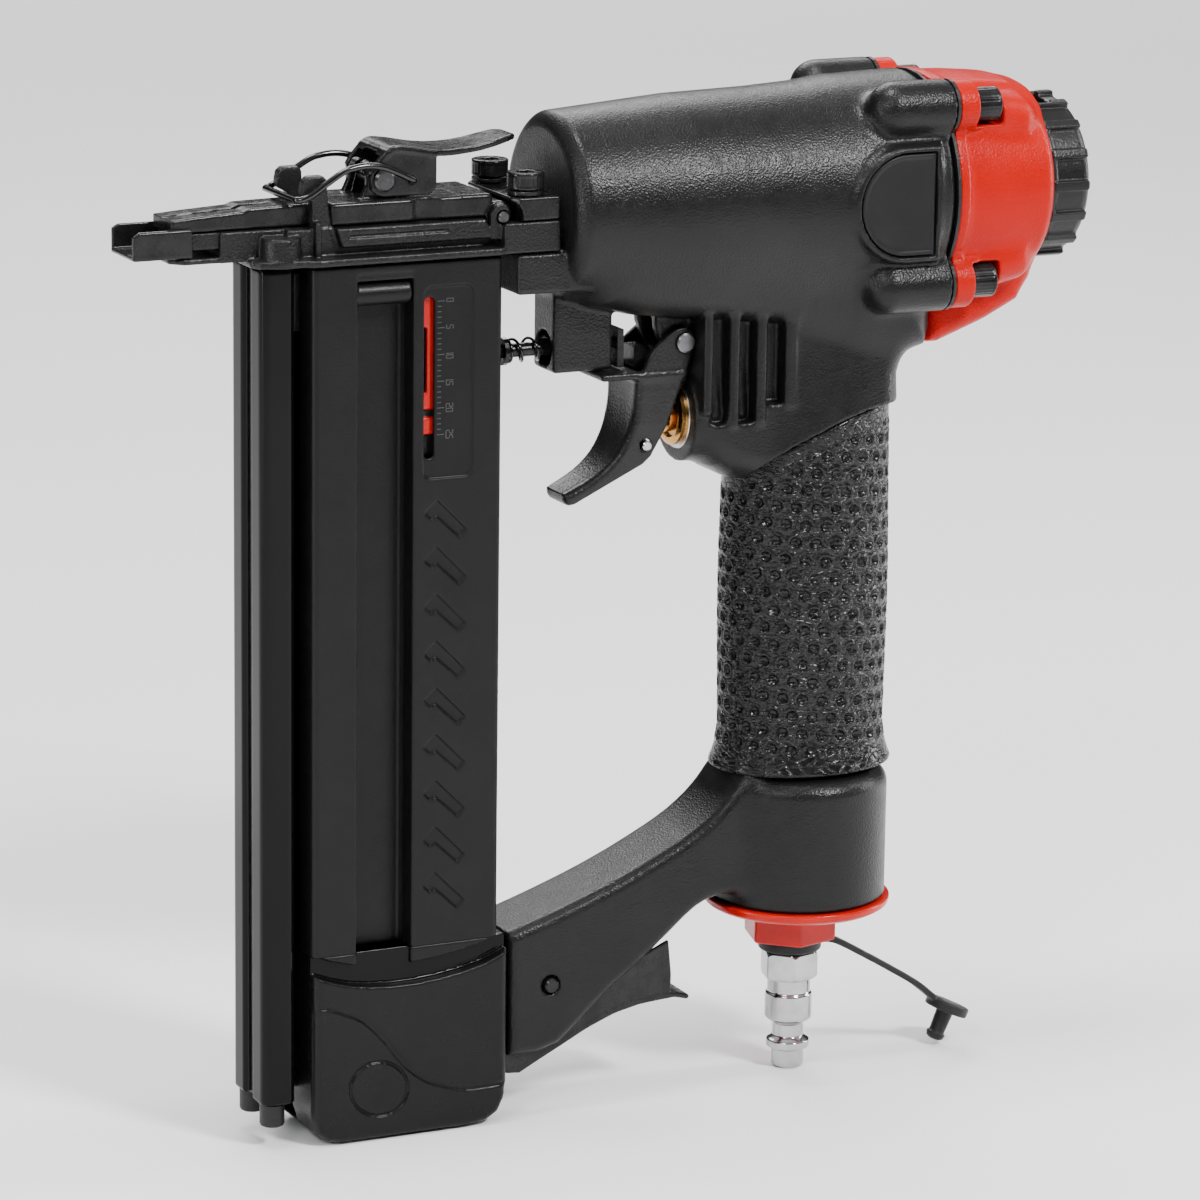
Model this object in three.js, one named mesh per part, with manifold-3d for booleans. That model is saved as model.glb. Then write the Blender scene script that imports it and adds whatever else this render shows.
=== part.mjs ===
// Pneumatic brad nailer: barrel and handle casting, side-loading magazine, quick-clear nose,
// work contact, trigger valve, piston and driver, end cap with a turning exhaust deflector.
//
// Millimetres, +Z up. The driver runs along X and fires towards -X. The magazine and the
// handle stand along Z. Y = 0 is the plane that both halves of the tool share.
import * as THREE from "three";
import { mergeVertices } from "three/addons/utils/BufferGeometryUtils.js";
import Module from "manifold-3d";

const wasm = await Module();
wasm.setup();

// ---------------------------------------------------------------- driving dimensions

const GAP = 0.3; // clearance between pieces that touch or nearly touch

const ORIGIN = [91.8, 0, -11]; // the reference point: under the middle of the tool, on the ground
const GROUND_Z = ORIGIN[2];

// Barrel, cylinder and end cap
const AXIS_Z = 211; // height of the barrel axis
const BARREL_FRONT = 75;
const BARREL_REAR = 171.9;
const BORE_FRONT = 80;
const BORE_R = 20;
const SLEEVE_WALL = 3;
const SLEEVE_REAR = 176;
const PISTON_FRONT = 163;
const PISTON_REAR = 175;
const GASKET_X = [172.2, 173];
const CAP_X = [173.3, 202];
const BOSS_R = 6.8; // bosses round the four cap screws
const CAP_SCREW_Y = 20;
const CAP_SCREW_Z = 21.4; // from the barrel axis
const CAP_SCREW_SEAT = 178.6;
const CHIN_HALF = 12.5; // half width of the air passage under the barrel
const KNOB_X = [202.3, 214];
const KNOB_R = 19.6;
const KNOB_RIB_R = 20.7;
const KNOB_RIBS = 18;

// Blade channel in the nose
const BLADE_TIP = 61.5;
const BLADE_HALF = 1.2;
const BLADE_Z = [208.4, 209.5];
const DRIVER_NECK_Z = 209.3;

// Nose
const NOSE_TIP = -19.5;
const NOSE_TOP = 210.9;
const NOSE_REAR = 73.6;
const FLANGE_HALF = 14.5;
const HINGE = [59.7, 211.2]; // nose door hinge, x and z
const LEVER_PIN = [31.2, 220.9];
const DOOR_Z = [211.2, 216.5];
const DOOR_FRONT_HALF = 6;
const DOOR_REAR_HALF = 10;
const BAIL_EYE = [38.3, 220.6];
const BAIL_BAR = [8.6, 217.8];
const NOSE_SCREW = [66.2, 10.1];

// Work contact
const CONTACT_TRAVEL = 6;
const ROD_Z = 176.8;
const ROD_R = 1.7;

// Trigger and valve
const TRIGGER_PIVOT = [109.1, 177.4];
const IDLER_PIN = [99.5, 152.9];
const TRIGGER_HALF = 9;
const TRIGGER_WALL = 1.8;
const VALVE_Z = 158.5;
const VALVE_FACE = 111;
const STEM_R = 2;

// Handle, base and arm
const HANDLE_X = 146.8;
const CORE_HALF = [19.2, 14.7]; // handle core under the rubber, half depth and half width
const GRIP_HALF = [21, 16.5];
const GRIP_Z = [68.3, 145];
const BASE_R = 23.1;
const BASE_Z = [34.6, 68];
const AIR_R = 11.5;
const ARM_HALF = 11;
const ARM_GROOVE_HALF = 8.6;
const LATCH_PIN = [74.7, 21.7];

// Magazine
const RAIL_TOP = 202;
const RAIL_BAR = [0, 8.6];
const RAIL_HALF = 10;
const RAIL_REAR = 56;
const COVER_X = [11.7, 59.8];
const COVER_Z = [36.3, 201.8];
const COVER_HALF = 12.5;
const FOOT_CAP_X = [11.7, 62.2];
const FOOT_CAP_HALF = 13.8;
const FOOT_CAP_TOP = 36;
const GUIDE = [51.5, -7.2]; // pusher guide rod, x and y

// Air inlet
const HEX_Z = [22.8, 31.8];
const PLUG_X = 145.3;

// ---------------------------------------------------------------- shape helpers

const X = new THREE.Vector3(1, 0, 0);
const Y = new THREE.Vector3(0, 1, 0);
const Z = new THREE.Vector3(0, 0, 1);

// A closed three.js geometry as a solid, faces outwards.
function solid(geometry) {
  const bare = new THREE.BufferGeometry();
  bare.setAttribute("position", geometry.getAttribute("position").clone());
  bare.setIndex(geometry.index);
  const merged = mergeVertices(bare, 1e-4);
  const corners = [];
  const index = merged.index.array;
  for (let i = 0; i < index.length; i += 3) {
    const [a, b, c] = [index[i], index[i + 1], index[i + 2]];
    if (a !== b && b !== c && c !== a) corners.push(a, b, c);
  }
  const make = (triangles) =>
    new wasm.Manifold(
      new wasm.Mesh({
        numProp: 3,
        vertProperties: merged.attributes.position.array,
        triVerts: new Uint32Array(triangles),
      }),
    );
  const made = make(corners);
  if (made.volume() > 0) return made;
  const turned = [];
  for (let i = 0; i < corners.length; i += 3) turned.push(corners[i], corners[i + 2], corners[i + 1]);
  return make(turned);
}

const join = (...solids) => solids.reduce((sum, next) => sum.add(next));
const cut = (from, ...tools) => tools.reduce((left, tool) => left.subtract(tool), from);

function mesh(name, shape, material) {
  const made = shape.getMesh();
  const geometry = new THREE.BufferGeometry();
  geometry.setAttribute("position", new THREE.BufferAttribute(new Float32Array(made.vertProperties), 3));
  geometry.setIndex(new THREE.BufferAttribute(new Uint32Array(made.triVerts), 1));
  geometry.computeVertexNormals();
  const object = new THREE.Mesh(geometry, material);
  object.name = name;
  return object;
}

function box([x0, x1], [y0, y1], [z0, z1]) {
  const geometry = new THREE.BoxGeometry(x1 - x0, y1 - y0, z1 - z0);
  geometry.translate((x0 + x1) / 2, (y0 + y1) / 2, (z0 + z1) / 2);
  return solid(geometry);
}

function cylinderX([x0, x1], y, z, r, sides = 16) {
  const geometry = new THREE.CylinderGeometry(r, r, x1 - x0, sides);
  geometry.rotateZ(Math.PI / 2).translate((x0 + x1) / 2, y, z);
  return solid(geometry);
}

function cylinderY([y0, y1], x, z, r, sides = 14) {
  const geometry = new THREE.CylinderGeometry(r, r, y1 - y0, sides);
  geometry.translate(x, (y0 + y1) / 2, z);
  return solid(geometry);
}

function cylinderZ([z0, z1], x, y, r, sides = 18, rTop = r) {
  const geometry = new THREE.CylinderGeometry(rTop, r, z1 - z0, sides);
  geometry.rotateX(Math.PI / 2).translate(x, y, (z0 + z1) / 2);
  return solid(geometry);
}

// An elliptical column along Z, with half depth a (X) and half width b (Y) at each end.
function ovalZ([z0, z1], x, [a, b], top = 1, sides = 28) {
  const geometry = new THREE.CylinderGeometry(top, 1, z1 - z0, sides);
  geometry.rotateX(Math.PI / 2).scale(a, b, 1).translate(x, 0, (z0 + z1) / 2);
  return solid(geometry);
}

function outline(points) {
  if (points instanceof THREE.Shape) return points;
  return new THREE.Shape(points.map(([u, v]) => new THREE.Vector2(u, v)));
}

// Flat shapes: drawn in x, z and thick along Y; drawn in y, z and thick along X; drawn in x, y
// and thick along Z. A bevel rounds the rim within the stated thickness.
function extruded(shape, depth, bevel, basis) {
  const geometry = new THREE.ExtrudeGeometry(shape, {
    depth: depth - 2 * bevel,
    bevelEnabled: bevel > 0,
    bevelSize: bevel,
    bevelThickness: bevel,
    bevelOffset: -bevel,
    bevelSegments: 1,
    curveSegments: 6,
  });
  geometry.translate(0, 0, bevel).applyMatrix4(basis);
  return solid(geometry);
}

function plateY(points, [y0, y1], bevel = 0) {
  const basis = new THREE.Matrix4().makeBasis(X, Z, Y.clone().negate());
  basis.setPosition(0, y1, 0);
  return extruded(outline(points), y1 - y0, bevel, basis);
}

function plateX(points, [x0, x1], bevel = 0) {
  const basis = new THREE.Matrix4().makeBasis(Y, Z, X).setPosition(x0, 0, 0);
  return extruded(outline(points), x1 - x0, bevel, basis);
}

function plateZ(points, [z0, z1], bevel = 0) {
  const basis = new THREE.Matrix4().setPosition(0, 0, z0);
  return extruded(outline(points), z1 - z0, bevel, basis);
}

// A rectangle with rounded corners, as a shape.
function roundedRect([u0, u1], [v0, v1], r) {
  const shape = new THREE.Shape();
  shape.absarc(u1 - r, v0 + r, r, -Math.PI / 2, 0);
  shape.absarc(u1 - r, v1 - r, r, 0, Math.PI / 2);
  shape.absarc(u0 + r, v1 - r, r, Math.PI / 2, Math.PI);
  shape.absarc(u0 + r, v0 + r, r, Math.PI, 1.5 * Math.PI);
  return shape;
}

// Turned shapes: the profile is [along the axis, radius], closed on the axis.
function turned(profile, sides) {
  return new THREE.LatheGeometry(
    profile.map(([along, r]) => new THREE.Vector2(r, along)),
    sides,
  );
}

const turnedX = (profile, y, z, sides = 32) =>
  solid(turned(profile, sides).rotateZ(-Math.PI / 2).translate(0, y, z));
const turnedZ = (profile, x, y, sides = 24) =>
  solid(turned(profile, sides).rotateX(Math.PI / 2).translate(x, y, 0));

// A round wire along a smooth curve.
function wire(curve, r, steps, sides = 6) {
  const section = new THREE.Shape();
  for (let i = 0; i < sides; i++) {
    const turn = (2 * Math.PI * i) / sides;
    section[i ? "lineTo" : "moveTo"](r * Math.cos(turn), r * Math.sin(turn));
  }
  return solid(new THREE.ExtrudeGeometry(section, { steps, bevelEnabled: false, extrudePath: curve }));
}

// A coil spring between two points on an axis parallel to X, Y or Z.
class Coil extends THREE.Curve {
  constructor(start, axis, length, r, turns) {
    super();
    Object.assign(this, { start: new THREE.Vector3(...start), axis, length, r, turns });
    this.u = axis === X ? Y : axis === Y ? Z : X;
    this.v = new THREE.Vector3().crossVectors(axis, this.u);
  }
  getPoint(t, target = new THREE.Vector3()) {
    const turn = 2 * Math.PI * this.turns * t;
    return target
      .copy(this.start)
      .addScaledVector(this.axis, this.length * t)
      .addScaledVector(this.u, this.r * Math.cos(turn))
      .addScaledVector(this.v, this.r * Math.sin(turn));
  }
}

function spring(start, axis, length, r, turns, wireR, sides = 4) {
  return wire(new Coil(start, axis, length, r, turns), wireR, Math.round(turns * 8), sides);
}

const bothSides = (make) => join(make(-1), make(1));
const band = (side, inner, outer) => (side < 0 ? [-outer, -inner] : [inner, outer]);

// ---------------------------------------------------------------- materials

const metal = (color, roughness, metalness) => new THREE.MeshStandardMaterial({ color, roughness, metalness });
const castBlack = metal(0x26272a, 0.55, 0.3);
const rubberBlack = metal(0x1f2022, 0.8, 0);
const red = metal(0xe8220c, 0.38, 0);
const steelBlack = metal(0x1c1c1e, 0.35, 0.7);
const coverBlack = metal(0x2b2c2e, 0.5, 0.3);
const glossBlack = metal(0x0c0c0d, 0.15, 0.4);
const plasticBlack = metal(0x222326, 0.5, 0);
const chrome = metal(0xc9ccd0, 0.15, 1);
const steel = metal(0x9a9da1, 0.3, 1);
const brass = metal(0xc08a3e, 0.25, 1);

// ---------------------------------------------------------------- barrel, handle and arm casting

const capScrewPlaces = [
  [-CAP_SCREW_Y, AXIS_Z + CAP_SCREW_Z],
  [CAP_SCREW_Y, AXIS_Z + CAP_SCREW_Z],
  [-CAP_SCREW_Y, AXIS_Z - CAP_SCREW_Z],
  [CAP_SCREW_Y, AXIS_Z - CAP_SCREW_Z],
];

// The rear joint's outline: round barrel, four screw bosses and the air passage's chin.
function rearOutline(span, barrelR, bossR, chinHalf, chinBottom) {
  return join(
    cylinderX(span, 0, AXIS_Z, barrelR, 36),
    ...capScrewPlaces.map(([y, z]) => cylinderX(span, y, z, bossR)),
    ...capScrewPlaces.map(([y, z]) => cylinderX(span, 0.8 * y, AXIS_Z + 0.8 * (z - AXIS_Z), bossR)),
    plateX(roundedRect([-chinHalf, chinHalf], [chinBottom, AXIS_Z], 5), span),
  );
}

function badgePad(side, r, thickness) {
  const shape = new THREE.Shape();
  const [arcX, flatX] = [158.8, 153.8 + r];
  shape.moveTo(flatX, AXIS_Z - r);
  shape.lineTo(flatX, AXIS_Z + r);
  shape.lineTo(arcX, AXIS_Z + r);
  shape.absarc(arcX, AXIS_Z, r, Math.PI / 2, 1.5 * Math.PI);
  return plateY(shape, band(side, ...thickness));
}

function barrel() {
  const outside = turnedX(
    [[BARREL_FRONT, 0], [BARREL_FRONT, 19.6], [77.6, 22.3], [108, 24.9], [140.5, 25.9],
      [143.5, 27.2], [BARREL_REAR, 28], [BARREL_REAR, 0]],
    0, AXIS_Z, 36,
  );
  const belly = plateY(
    [[92, 196], [92, 186.5], [119, 183.2], [150, 178], [BARREL_REAR, 173.4], [BARREL_REAR, 196]],
    [-CHIN_HALF, CHIN_HALF], 3,
  );
  const bosses = capScrewPlaces.flatMap(([y, z]) => [
    turnedX([[146, 0], [147.5, 4], [151, BOSS_R], [BARREL_REAR, BOSS_R], [BARREL_REAR, 0]], y, z, 14),
    turnedX(
      [[146, 0], [147.5, 4], [151, BOSS_R], [BARREL_REAR, BOSS_R], [BARREL_REAR, 0]],
      0.8 * y, AXIS_Z + 0.8 * (z - AXIS_Z), 14,
    ),
  ]);
  return cut(
    join(outside, belly, ...bosses, bothSides((side) => badgePad(side, 14, [20, 27.7]))),
    bothSides((side) => badgePad(side, 12.6, [26.4, 30])),
  );
}

// Neck between barrel and grip, with its cooling ribs and the boss round the trigger valve.
function neck() {
  const core = plateY(
    [[113.6, 196], [113.6, 152], [117, 147.5], [126, 145], [164, 145], [166.2, 150],
      [166.4, 170], [171, 176], [171, 196]],
    [-13, 13], 2.5,
  );
  const valveBoss = cylinderX([VALVE_FACE, 124], 0, VALVE_Z, 11.9, 32);
  const cheeks = plateY(
    [[102.6, 196], [102.6, 181], [105, 174.5], [108, 173], [116, 168], [116, 196]],
    [-6.6, 6.6],
  );
  const ribs = [112.9, 120.4, 127.9].map((x) =>
    plateY([[x, 186], [x, 160], [x + 2.6, 160], [x + 2.6, 186]], [-14.6, 14.6]),
  );
  const idlerSlot = box([100, 107.2], [-3.6, 3.6], [166, 183]);
  return cut(join(core, valveBoss, cheeks, ...ribs), idlerSlot);
}

function triggerBlock() {
  const block = box([76, 91.2], [-6, 6], [171.4, 195]);
  const frontLug = box([62.7, 80], [-FLANGE_HALF, FLANGE_HALF], [192.6, 202.4]);
  return join(block, frontLug);
}

function arm() {
  const outside = plateY(
    [[63.6, 35.5], [63.6, 4.4], [70, 4.6], [77.4, 6], [84, 12], [91.6, 18.6], [106, 29.8],
      [116.1, 37.8], [140, 39], [140, 66.5], [126, 66.5], [120, 60], [112.8, 54.9], [103, 50],
      [91.3, 45.1], [77, 39.5]],
    [-ARM_HALF, ARM_HALF], 1.5,
  );
  const groove = plateY(
    [[62, 31], [77, 35], [91, 40.5], [103, 45.5], [110, 48], [112, 44], [112, 0], [62, 0]],
    [-ARM_GROOVE_HALF, ARM_GROOVE_HALF],
  );
  const tongue = box([RAIL_REAR + GAP, 70], [-3.7, 3.7], [26, 35.2]);
  return join(cut(outside, groove), tongue);
}

function housing() {
  const handleCore = ovalZ([60, 172], HANDLE_X, CORE_HALF);
  const base = cylinderZ([BASE_Z[0], BASE_Z[1]], HANDLE_X, 0, BASE_R, 36);
  const outside = join(barrel(), neck(), triggerBlock(), handleCore, base, arm());
  return cut(
    outside,
    cylinderX([BORE_FRONT, BARREL_REAR + 1], 0, AXIS_Z, BORE_R, 40), // cylinder bore
    cylinderX([BARREL_FRONT - 1, BORE_FRONT + 1], 0, DRIVER_NECK_Z, 3.3, 16), // driver passage
    cylinderZ([BASE_Z[0] - 1, 182], HANDLE_X, 0, AIR_R), // air chamber in the handle
    box([HANDLE_X - 8, BARREL_REAR + 1], [-7.5, 7.5], [177.5, 187.5]), // air passage to the cap
    cylinderZ([BASE_Z[0] - 1, 47], HANDLE_X, 0, 14), // inlet seat
    cylinderX([VALVE_FACE - 1, 137], 0, VALVE_Z, 7.1), // trigger valve seat
    cylinderX([75, 92], 0, ROD_Z, ROD_R + 0.4, 16), // contact rod guide
    cylinderX([75, 86], 0, ROD_Z, 4.4), // contact spring seat
    cylinderY([-12, 12], ...TRIGGER_PIVOT, 2.1, 12),
    cylinderY([-12, 12], ...LATCH_PIN, 2.2, 12),
    ...[-1, 1].map((side) => cylinderZ([190, 204], NOSE_SCREW[0], side * NOSE_SCREW[1], 2.6, 12)),
    ...capScrewPlaces.map(([y, z]) => cylinderX([156, BARREL_REAR + 1], y, z, 2.5, 12)),
  );
}

const casting = new THREE.Group();
casting.add(
  mesh("main_housing", housing(), castBlack),
  mesh("badge_left", badgePad(-1, 12.2, [26.7, 27.5]), plasticBlack),
  mesh("badge_right", badgePad(1, 12.2, [26.7, 27.5]), plasticBlack),
);

// Rubber sleeve over the handle core; its upper rim slopes down towards the trigger.
function rubberGrip() {
  const sleeve = join(
    ovalZ([GRIP_Z[0] + 6, 162], HANDLE_X, GRIP_HALF),
    ovalZ([GRIP_Z[0], GRIP_Z[0] + 6], HANDLE_X, [22.6, 19], 0.93),
  );
  const aboveRim = plateY([[110, 141.5], [129, 143.4], [152, 155.5], [180, 160], [180, 170], [110, 170]], [-30, 30]);
  const inside = ovalZ([60, 170], HANDLE_X, [CORE_HALF[0] + GAP, CORE_HALF[1] + GAP]);
  return cut(sleeve, aboveRim, inside, cut(neckEnvelope(), box([100, 180], [-30, 30], [60, 144])));
}

// The neck grown by the clearance that the rubber keeps to it.
function neckEnvelope() {
  return plateY(
    [[112, 196], [112, 150], [116.5, 146.8], [126, 144.7], [164.4, 144.7], [166.6, 150], [166.8, 196]],
    [-13.3, 13.3],
  );
}

casting.add(mesh("rubber_grip", rubberGrip(), rubberBlack));

// ---------------------------------------------------------------- end cap and exhaust

function rearCap() {
  const [front, rear] = CAP_X;
  const body = turnedX(
    [[front, 0], [front, 27.6], [178, 26.4], [196, 25.2], [199.8, 23.4], [rear, 19], [rear, 0]],
    0, AXIS_Z, 36,
  );
  const lanes = capScrewPlaces.map(([y, z]) =>
    turnedX(
      [[front, 0], [front, 6.6], [194, 6], [197.5, 4.2], [198.5, 0]],
      0.93 * y, AXIS_Z + 0.93 * (z - AXIS_Z), 14,
    ),
  );
  const chin = plateY(
    [[front, 200], [front, 173.2], [178, 173.4], [200, 183], [rear, 187], [rear, 200]],
    [-CHIN_HALF, CHIN_HALF], 3,
  );
  const screwPockets = capScrewPlaces.flatMap(([y, z]) => {
    const side = Math.sign(y);
    return [
      cylinderX([CAP_SCREW_SEAT, 187.2], y, z, 4.9, 16),
      box([CAP_SCREW_SEAT, 187.2], band(side, CAP_SCREW_Y, 34), [z - 4.9, z + 4.9]),
      cylinderX([front - 1, CAP_SCREW_SEAT + 1], y, z, 2.5, 12),
    ];
  });
  const exhaustHoles = Array.from({ length: 6 }, (_, i) => {
    const turn = (i * Math.PI) / 3;
    return cylinderX([195, rear + 1], 11 * Math.cos(turn), AXIS_Z + 11 * Math.sin(turn), 3, 12);
  });
  return cut(
    join(body, chin, ...lanes),
    cylinderX([front - 1, 196], 0, AXIS_Z, 21.4, 40),
    box([front - 1, 190], [-7.5, 7.5], [178, 192]),
    cylinderX([195, rear + 1], 0, AXIS_Z, 2.4, 12),
    ...exhaustHoles,
    ...screwPockets,
  );
}

function capGasket() {
  const outside = rearOutline(GASKET_X, 27.9, 6.7, CHIN_HALF, 173.4);
  const span = [GASKET_X[0] - 1, GASKET_X[1] + 1];
  return cut(
    outside,
    cylinderX(span, 0, AXIS_Z, 21, 40),
    box(span, [-7.5, 7.5], [178, 187.5]),
    ...capScrewPlaces.map(([y, z]) => cylinderX(span, y, z, 2.6, 12)),
  );
}

function exhaustDeflector() {
  const [front, rear] = KNOB_X;
  const body = turnedX(
    [[front, 0], [front, KNOB_R], [rear - 3, KNOB_R], [rear - 0.8, KNOB_R - 1.6], [rear, KNOB_R - 4], [rear, 0]],
    0, AXIS_Z, 36,
  );
  const ribs = Array.from({ length: KNOB_RIBS }, (_, i) => {
    const turn = (2 * Math.PI * i) / KNOB_RIBS;
    const place = (geometry) => geometry.rotateX(turn).translate(0, 0, AXIS_Z);
    const rib = new THREE.BoxGeometry(rear - front - 3.5, 2, 4);
    return solid(place(rib.translate((front + rear - 2.5) / 2, 0, KNOB_RIB_R - 2)));
  });
  return cut(
    join(body, ...ribs),
    cut(
      cylinderX([front - 1, 208.5], 0, AXIS_Z, 16, 32), // exhaust chamber round the screw's boss
      cylinderX([front - 2, 209], 0, AXIS_Z, 5, 20),
    ),
    cylinderX([front - 1, rear], 0, AXIS_Z, 2.6, 12),
    cylinderX([211.2, rear + 1], 0, AXIS_Z, 5, 20),
    box([204.6, 208.4], [-8, 8], [AXIS_Z + 10, AXIS_Z + 30]), // exhaust slot
  );
}

// Socket-head cap screw along +X: the head's underside is at x = 0 and the shank runs to -length.
function capScrew(headR, headLength, shankR, length, hex) {
  const body = turnedX(
    [[-length, 0], [-length, shankR], [0, shankR], [0, headR], [headLength - 0.5, headR],
      [headLength, headR - 0.5], [headLength, 0]],
    0, 0, 20,
  );
  return cut(body, cylinderX([headLength / 2, headLength + 1], 0, 0, hex, 6));
}

const endCap = new THREE.Group();
endCap.add(
  mesh("rear_cap", rearCap(), red),
  mesh("cap_gasket", capGasket(), rubberBlack),
  mesh("exhaust_deflector", exhaustDeflector(), plasticBlack),
);
capScrewPlaces.forEach(([y, z], i) => {
  const screw = mesh("cap_screw_" + (i + 1), capScrew(4.2, 6.8, 2.1, 20.5, 1.8), steelBlack);
  screw.position.set(CAP_SCREW_SEAT + GAP, y, z);
  endCap.add(screw);
});
const deflectorScrew = mesh("deflector_screw", capScrew(4.4, 2.3, 2.1, 14.5, 1.8), steelBlack);
deflectorScrew.position.set(211.5, 0, AXIS_Z);
endCap.add(deflectorScrew);

// ---------------------------------------------------------------- cylinder, piston and head valve

function pistonBody() {
  const r = BORE_R - GAP - SLEEVE_WALL - 0.4;
  return turnedX(
    [[PISTON_FRONT, 0], [PISTON_FRONT, r], [167.2, r], [167.2, r - 2.2], [170.8, r - 2.2],
      [170.8, r], [PISTON_REAR, r], [PISTON_REAR, 0]],
    0, AXIS_Z, 36,
  );
}

const ring = (span, y, z, outer, inner, sides = 28) =>
  cut(
    cylinderX(span, y, z, outer, sides),
    cylinderX([span[0] - 1, span[1] + 1], y, z, inner, sides),
  );

function driverBlade() {
  const blade = box([BLADE_TIP, 154], [-BLADE_HALF, BLADE_HALF], BLADE_Z);
  return blade.add(cylinderX([153, PISTON_FRONT - GAP], 0, DRIVER_NECK_Z, 2.6, 16));
}

const power = new THREE.Group();
power.add(
  mesh("cylinder_sleeve", ring([BORE_FRONT + GAP, SLEEVE_REAR], 0, AXIS_Z, BORE_R - GAP, BORE_R - GAP - SLEEVE_WALL), steel),
  mesh("piston", pistonBody(), steel),
  mesh("piston_ring", ring([167.6, 170.4], 0, AXIS_Z, 16.5, 14.5), rubberBlack),
  mesh("driver_blade", driverBlade(), steel),
  mesh(
    "bumper",
    cut(
      cylinderX([BORE_FRONT + GAP, 84], 0, AXIS_Z, 16.4, 36),
      cylinderX([BORE_FRONT - 1, 85], 0, DRIVER_NECK_Z, 3.4, 12),
    ),
    rubberBlack,
  ),
  mesh("head_valve", ring([SLEEVE_REAR + 0.4, 184.4], 0, AXIS_Z, 20.6, 9), plasticBlack),
  mesh("head_valve_spring", spring([185.4, 0, AXIS_Z], X, 9.8, 17.5, 2.5, 0.5), steel),
);

// ---------------------------------------------------------------- nose

function noseBody() {
  const near = (points, span) => plateZ(points, span);
  const flange = near(
    [[-2, -9], [0, -12.5], [6, -13.5], [10, -FLANGE_HALF], [59.2, -FLANGE_HALF], [59.2, FLANGE_HALF],
      [10, FLANGE_HALF], [4, 12], [-2, 9]],
    [202.6, 204.4],
  );
  const tipFlange = near([[-21, -4], [-18, -7.2], [0, -7.2], [0, 7.2], [-18, 7.2], [-21, 4]], [203.9, 205.2]);
  const core = near([[NOSE_TIP, -6], [8, -6], [8, 6], [NOSE_TIP, 6]], [206.9, NOSE_TOP]);
  const middle = near([[-9, -7.2], [8, -7.2], [8, 7.2], [-9, 7.2]], [204, NOSE_TOP]);
  const body = near([[6.5, -9.6], [60, -9.6], [60, 9.6], [6.5, 9.6]], [204, NOSE_TOP]);
  const sideRails = near([[17.6, -12], [56.5, -12], [56.5, 12], [17.6, 12]], [206.4, NOSE_TOP]);
  const nearBoss = cylinderZ([202.6, 209.4], 3.3, -7, 6, 20);
  const rearBlock = box([59.2, NOSE_REAR], [-FLANGE_HALF, FLANGE_HALF], [202.7, 210]);
  const hooks = bothSides((side) =>
    plateY(
      [[12.9, 204.5], [12.9, 217], [10.4, 218.4], [10.4, 220], [11, 223], [13.6, 223], [15, 221.5],
        [15.4, 219], [16.3, 216.5], [18, 211], [18.6, 204.5]],
      band(side, 6.4, 9.2),
    ),
  );
  const hingeEars = bothSides((side) =>
    plateY([[56.6, 206], [56.6, 212], [58.5, 214.6], [61, 214.6], [61.2, 209], [61.2, 206]], band(side, 10.4, 12.4)),
  );
  return cut(
    join(flange, tipFlange, core, middle, body, sideRails, nearBoss, rearBlock, hooks, hingeEars),
    box([NOSE_TIP - 1, NOSE_REAR + 1], [-1.7, 1.7], [208.1, 212]), // driver channel
    box([8.6, 59.4], [-1, 1], [200, 209]), // nail slot
    cylinderY([-10.3, 10.3], ...HINGE, 3.9, 24), // room for the door's knuckle
    cylinderY([-14, 14], ...HINGE, 1.7, 12),
    ...[-1, 1].map((side) => cylinderZ([200, 214], NOSE_SCREW[0], side * NOSE_SCREW[1], 2.6, 12)),
  );
}

function clampPlate() {
  const plate = plateZ(
    [[61.5, -12.6], [63, -FLANGE_HALF], [73.3, -FLANGE_HALF], [73.3, FLANGE_HALF], [63, FLANGE_HALF], [61.5, 12.6]],
    [210.3, 215.8],
  );
  return cut(
    plate,
    cylinderY([-20, 20], ...HINGE, 4.2, 24),
    ...[-1, 1].map((side) => cylinderZ([209, 217], NOSE_SCREW[0], side * NOSE_SCREW[1], 2.6, 12)),
  );
}

function noseDoor() {
  const front = plateY(
    [[-20.6, DOOR_Z[0]], [19.5, DOOR_Z[0]], [19.5, 216.4], [12, 216.3], [-2.8, 215.9], [-14.8, 214.9], [-20.6, 214.3]],
    [-DOOR_FRONT_HALF, DOOR_FRONT_HALF],
  );
  const rear = plateY(
    [[19.2, DOOR_Z[0]], [58, DOOR_Z[0]], [58, 214.4], [56.6, DOOR_Z[1]], [17.6, DOOR_Z[1]]],
    [-DOOR_REAR_HALF, DOOR_REAR_HALF],
  );
  const ridge = box([-19, 56], [-1.4, 1.4], [BLADE_Z[1] + 0.4, DOOR_Z[0] + 1]); // roof of the driver channel
  const knuckle = cylinderY([-DOOR_REAR_HALF, DOOR_REAR_HALF], ...HINGE, 3.5, 24);
  const ears = bothSides((side) =>
    plateY(
      [[25.2, 216], [27.6, 220], [28.4, 223.2], [31.2, 224.4], [34, 223.2], [35, 220], [35.4, 216]],
      band(side, 4.6, 6.4),
    ),
  );
  const gripReliefs = bothSides((side) => cylinderZ([205, 220], 41, side * 14.3, 5.6, 20));
  return cut(
    join(front, rear, ridge, knuckle, ears),
    gripReliefs,
    cylinderY([-8, 8], ...LEVER_PIN, 2.1, 12),
    cylinderY([-12, 12], ...HINGE, 1.7, 12),
    box([-21, 5], [-0.9, 0.9], [213.9, 217]), // centre groove in the thin front plate
    box([55.9, 66], [-1.9, 1.9], [206, 212.2]), // room for the driver
  );
}

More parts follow.
